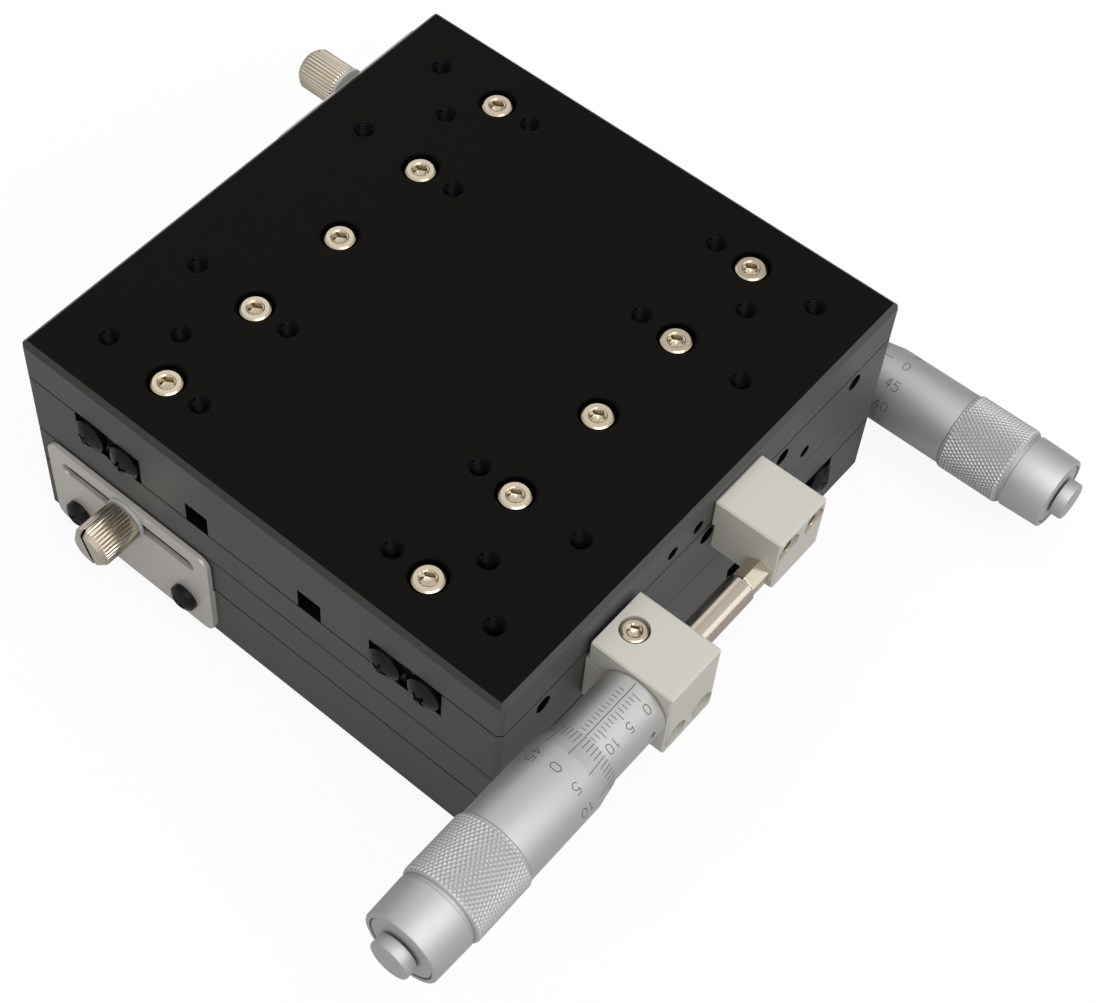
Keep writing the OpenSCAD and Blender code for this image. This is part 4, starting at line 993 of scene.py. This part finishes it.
class STAGE_OT_locks(bpy.types.Operator):
    """Slotted lock plates, white washers and knurled thumb screws"""

    bl_idname = "stage.locks"
    bl_label = "Locks"

    def execute(self, context):
        for prefix in PREFIXES:
            node = prefix + "_lock_plate"
            me = break_edges(cad_copy(node), sizes().edge_break)
            put(node + "_body", me, FIXED[prefix], ["stainless_plate"], nodes=[node], flat=True)
            at = PLACE[prefix] @ facing(LOCK_X, LOCK_Y, LOCK_Z, BACK)
            self.washer(prefix, at)
            self.knob(prefix, at)
        return {"FINISHED"}

    def washer(self, prefix, at):
        bore, r, lead = 1.54, WASHER_R, 0.15
        ring = Shape()
        ring.lathe([
            (bore, 0), (r - lead, 0), (r, lead), (r, WASHER_T - lead), (r - lead, WASHER_T),
            (bore, WASHER_T),
        ], 72, loop=True)
        put(
            prefix + "_washer_body", ring.mesh(prefix + "_washer"), prefix + "_washer",
            ["white_nylon"], at, [prefix + "_lock_washer"],
        )

    def knob(self, prefix, at):
        grooves, foot, height = 36, WASHER_T, 10.2

        def ridged(r, depth):
            def radius(a):
                phase = (a * grooves / (2 * math.pi)) % 1.0
                return r - depth * max(0.0, 1 - abs(phase - 0.5) / 0.3)
            return radius

        grip = ridged(4.8, 0.28)
        shape = Shape()
        shape.lathe([
            (1.5, foot), (4.45, foot), (ridged(4.6, 0.16), foot + 0.15), (grip, foot + 0.5),
            (grip, foot + 8.9), (ridged(4.62, 0.14), foot + 9.15), (4.4, foot + 9.4),
            (3.85, foot + 10.15), (3.7, foot + height), (0, foot + height),
        ], grooves * 8)
        shape.lathe(
            [(1.5, foot), (1.5, -1.5), (1.2, -1.5), (1.2, -8.2), (0.9, -8.5), (0, -8.5)],
            grooves * 8,
        )
        me = weld(shape.mesh(prefix + "_knob"), 1e-7)
        slot = Shape()
        half_l, half_w = 6, 0.42
        outline = ((-half_l, -half_w), (half_l, -half_w), (half_l, half_w), (-half_l, half_w))
        slot.add(
            [(x, y, z) for z in (foot + 8.6, foot + 11) for x, y in outline],
            [(3, 2, 1, 0), (4, 5, 6, 7), (0, 1, 5, 4), (1, 2, 6, 5), (2, 3, 7, 6), (3, 0, 4, 7)],
            turned(111),
        )
        me = carve(me, slot.mesh("slot_tool"))
        put(
            prefix + "_knob_body", me, prefix + "_knob", ["knob_nickel"],
            at, [prefix + "_lock_knob"], angle=24,
        )


class STAGE_OT_springs(bpy.types.Operator):
    """Coiled return springs that run between their pins"""

    bl_idname = "stage.springs"
    bl_label = "Return springs"

    def execute(self, context):
        line = self.centreline(sizes().spring_turns)
        for prefix in PREFIXES:
            for number, x in enumerate((-SPRING_X, SPRING_X)):
                at = PLACE[prefix] @ Matrix.Translation((x, 0, SPRING_Z))
                shape = Shape()
                self.wire(shape, line, SPRING_WIRE_R, at)
                name = f"{prefix}_spring_{number + 1}"
                me = shape.mesh(name)
                me.materials.append(finish("spring_steel"))
                shade(me, 60)
                obj = bpy.data.objects.new(name, me)
                link(obj)
                if number == 0:
                    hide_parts(prefix + "_springs")
                ends = [at @ Vector((0, y, 0)) * MM for y in (-SPRING_END, SPRING_END)]
                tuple(ends[0])
                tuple(ends[1])
                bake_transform(obj)
        return {"FINISHED"}

    def centreline(self, turns):
        """A loop round the base's pin, the coil, and a loop round the table's pin."""
        coil_r, half, pin_y, loop_r = 2.0, 41.2, 44.0, 1.35
        per_turn, loop_steps = 14, 24

        def loop(y, start):
            angles = [math.radians(start + 340 * k / loop_steps) for k in range(loop_steps + 1)]
            return [Vector((loop_r * math.sin(a), y + loop_r * math.cos(a), 0.0)) for a in angles]

        steps = turns * per_turn
        coil = []
        for k in range(steps + 1):
            a = 2 * math.pi * k / per_turn
            y = -half + 2 * half * k / steps
            coil.append(Vector((coil_r * math.sin(a), y, coil_r * (1 - math.cos(a)) - coil_r)))
        return loop(-pin_y, 20) + coil + loop(pin_y, 180)

    def wire(self, shape, line, r, at):
        """A round wire along a line of points, with closed ends."""
        sides, last = 8, len(line) - 1
        verts, faces = [], []
        for i, p in enumerate(line):
            along = (line[min(i + 1, last)] - line[max(i - 1, 0)]).normalized()
            side = along.cross(Vector((0, 0, 1))).normalized()
            lift = side.cross(along).normalized()
            for k in range(sides):
                a = 2 * math.pi * k / sides
                verts.append(p + r * (math.cos(a) * side + math.sin(a) * lift))
        for i in range(last):
            for k in range(sides):
                a, b = i * sides + k, i * sides + (k + 1) % sides
                faces.append((a, b, b + sides, a + sides))
        faces.append(tuple(range(sides - 1, -1, -1)))
        faces.append(tuple(last * sides + k for k in range(sides)))
        shape.add(verts, faces, at)


class STAGE_OT_inner_parts(bpy.types.Operator):
    """Finishes of the rails, rollers, cages, pins, nuts, drive screws and set screws"""

    bl_idname = "stage.inner_parts"
    bl_label = "Rails and inner parts"

    def execute(self, context):
        bevelled = ("base_rails", "table_rails", "roller_cages")
        made = {
            "rollers": "ground_steel", "base_spring_pins": "spring_steel",
            "table_spring_pins": "spring_steel", "spring_pins": "spring_steel",
            "sleeve_nut": "brass", "drive_screw": "ground_steel", "preload_screws": "black_screw",
            # the rails and cages take the near-black steel as painted shade in the gaps
            **dict.fromkeys(bevelled, "dark_steel"),
        }
        for node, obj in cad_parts.items():
            if obj.hide_render:
                continue
            kind = node.split("_", 1)[1]
            if kind not in made:
                raise RuntimeError("no finish for " + node)
            obj.data.materials.clear()
            obj.data.materials.append(finish(made[kind]))
            shade(obj.data, 35)
            if kind in bevelled:
                joined = obj.modifiers.new("weld", "WELD")
                joined.merge_threshold = 1e-6
                edge = obj.modifiers.new("edge", "BEVEL")
                edge.width = 0.05 * MM
                edge.segments = 1
                edge.limit_method = "ANGLE"
        return {"FINISHED"}


class STAGE_OT_studio(bpy.types.Operator):
    """Floor, lights, world and the camera at the photograph's angle"""

    bl_idname = "stage.studio"
    bl_label = "Studio and camera"

    def execute(self, context):
        self.floor()
        self.lights()
        self.world()
        self.camera()
        return {"FINISHED"}

    def floor(self):
        """A floor that lights the part like paper and looks like the background."""
        shape = Shape()
        w, z = 3000.0, -0.3
        shape.add([(-w, -w, z), (w, -w, z), (w, w, z), (-w, w, z)], [(0, 1, 2, 3)])
        me = shape.mesh("floor")
        obj = bpy.data.objects.new("floor", me)
        link(obj)
        m = bpy.data.materials.new("pale_floor")
        tree = fresh_tree(m)
        out, mix = new_node(tree, "OutputMaterial"), new_node(tree, "MixShader")
        matt = new_node(tree, "BsdfDiffuse")
        glow = new_node(tree, "Emission", Color=(*colours().background, 1), Strength=1.0)
        grain = new_node(tree, "TexNoise", Scale=40.0)
        tone = colour_mix(tree, A=(0.95, 0.95, 0.95), B=(0.98, 0.98, 0.98))
        bounce = colour_mix(tree, A=(0.5, 0.5, 0.51))
        ray = new_node(tree, "LightPath")
        share = math_node(tree, "MULTIPLY", 0.9)
        connect(
            tree,
            (grain, "Fac", tone, "Factor"), (tone, "Result", bounce, "B"),
            (ray, "Is Camera Ray", bounce, "Factor"), (bounce, "Result", matt, "Color"),
            (ray, "Is Camera Ray", share, 0), (share, "Value", mix, "Fac"),
            (matt, "BSDF", mix, 1), (glow, "Emission", mix, 2), (mix, "Shader", out, "Surface"),
        )
        me.materials.append(m)

    def lights(self):
        """Three square lamps, each with its place and size in metres and its power."""
        for name, spot, size, power in (
            ("key", (0.5, -0.15, 0.8), 0.7, 3.3),
            ("side", (0.75, 0.42, 0.36), 0.5, 0.8),
            ("back", (-0.6, 0.3, 0.7), 0.7, 0.8),
        ):
            data = bpy.data.lights.new(name, "AREA")
            data.shape = "SQUARE"
            data.size = size
            data.energy = power
            obj = bpy.data.objects.new(name, data)
            link(obj)
            obj.location = spot
            obj.rotation_mode = "QUATERNION"
            toward = Vector((0, 0, 0.03)) - Vector(spot)
            obj.rotation_quaternion = toward.to_track_quat("-Z", "Y")

    def world(self):
        """A soft sky, brightest above and to the right, that the camera sees as the background."""
        world = bpy.data.worlds.new("studio")
        bpy.context.scene.world = world
        tree = fresh_tree(world)
        out, mix = new_node(tree, "OutputWorld"), new_node(tree, "MixShader")
        soft = new_node(tree, "Background", Color=(1.0, 0.99, 0.97, 1))
        heading = new_node(tree, "TexCoord")
        toward = new_node(tree, "VectorMath")
        toward.operation = "DOT_PRODUCT"
        toward.inputs[1].default_value = Vector((0.3, -0.25, 0.92)).normalized()
        sky = new_node(tree, "MapRange", From_Min=-0.1, From_Max=1.0, To_Min=0.3, To_Max=1.0)
        seen = new_node(tree, "Background", Color=(*colours().background, 1), Strength=1.0)
        ray = new_node(tree, "LightPath")
        connect(
            tree,
            (heading, "Generated", toward, 0), (toward, "Value", sky, "Value"),
            (sky, "Result", soft, "Strength"), (ray, "Is Camera Ray", mix, "Fac"),
            (soft, "Background", mix, 1), (seen, "Background", mix, 2),
            (mix, "Shader", out, "Surface"),
        )
        bpy.context.scene.view_settings.view_transform = "Standard"

    def camera(self):
        """A pinhole at the photograph's place. Its focal length and centre are in pixels of a
        frame 1096 wide and 1003 high."""
        wide, high = 1096.0, 1003.0
        focal, centre_x, centre_y = 2331.32, 466.43, 436.04
        data = bpy.data.cameras.new("camera")
        data.sensor_width = 36.0
        data.lens = focal * data.sensor_width / wide
        data.shift_x = (wide / 2 - centre_x) / wide
        data.shift_y = (centre_y - high / 2) / wide
        data.clip_start = 0.01
        data.clip_end = 20.0
        cam = bpy.data.objects.new("camera", data)
        link(cam)
        right = Vector((0.757697, 0.652092, 0.025903))
        down = Vector((0.541318, -0.605824, -0.583054))
        ahead = Vector((-0.364512, 0.4558, -0.81202))
        turn = Matrix((right, -down, -ahead)).transposed().to_4x4()
        turn.translation = Vector((182.0824, -225.7673, 420.4238)) * MM
        cam.matrix_world = turn
        bpy.context.scene.camera = cam


class STAGE_PT_panel(bpy.types.Panel):
    """Lists the steps that dress the stage, with their sizes and colours"""

    bl_idname = "STAGE_PT_panel"
    bl_label = "Two-axis stage"
    bl_space_type = "VIEW_3D"
    bl_region_type = "UI"
    bl_category = "Stage"

    def draw(self, context):
        for group in (context.scene.stage_sizes, context.scene.stage_colours):
            box = self.layout.box()
            for name in group.__annotations__:
                box.prop(group, name)
        for operator in OPERATORS:
            self.layout.operator(operator.bl_idname)


OPERATORS = (
    STAGE_OT_plates, STAGE_OT_cap_screws, STAGE_OT_pan_screws, STAGE_OT_micrometers,
    STAGE_OT_blocks, STAGE_OT_locks, STAGE_OT_springs, STAGE_OT_inner_parts, STAGE_OT_studio,
)
CLASSES = (StageSizes, StageColours, *OPERATORS, STAGE_PT_panel)


def register():
    for cls in CLASSES:
        bpy.utils.register_class(cls)
    bpy.types.Scene.stage_sizes = PointerProperty(type=StageSizes)
    bpy.types.Scene.stage_colours = PointerProperty(type=StageColours)


def unregister():
    del bpy.types.Scene.stage_colours
    del bpy.types.Scene.stage_sizes
    for cls in reversed(CLASSES):
        bpy.utils.unregister_class(cls)


def main():
    register()
    for operator in OPERATORS:
        name = operator.bl_idname.split(".")[1]
        getattr(bpy.ops.stage, name)()


if __name__ == "__main__":
    main()
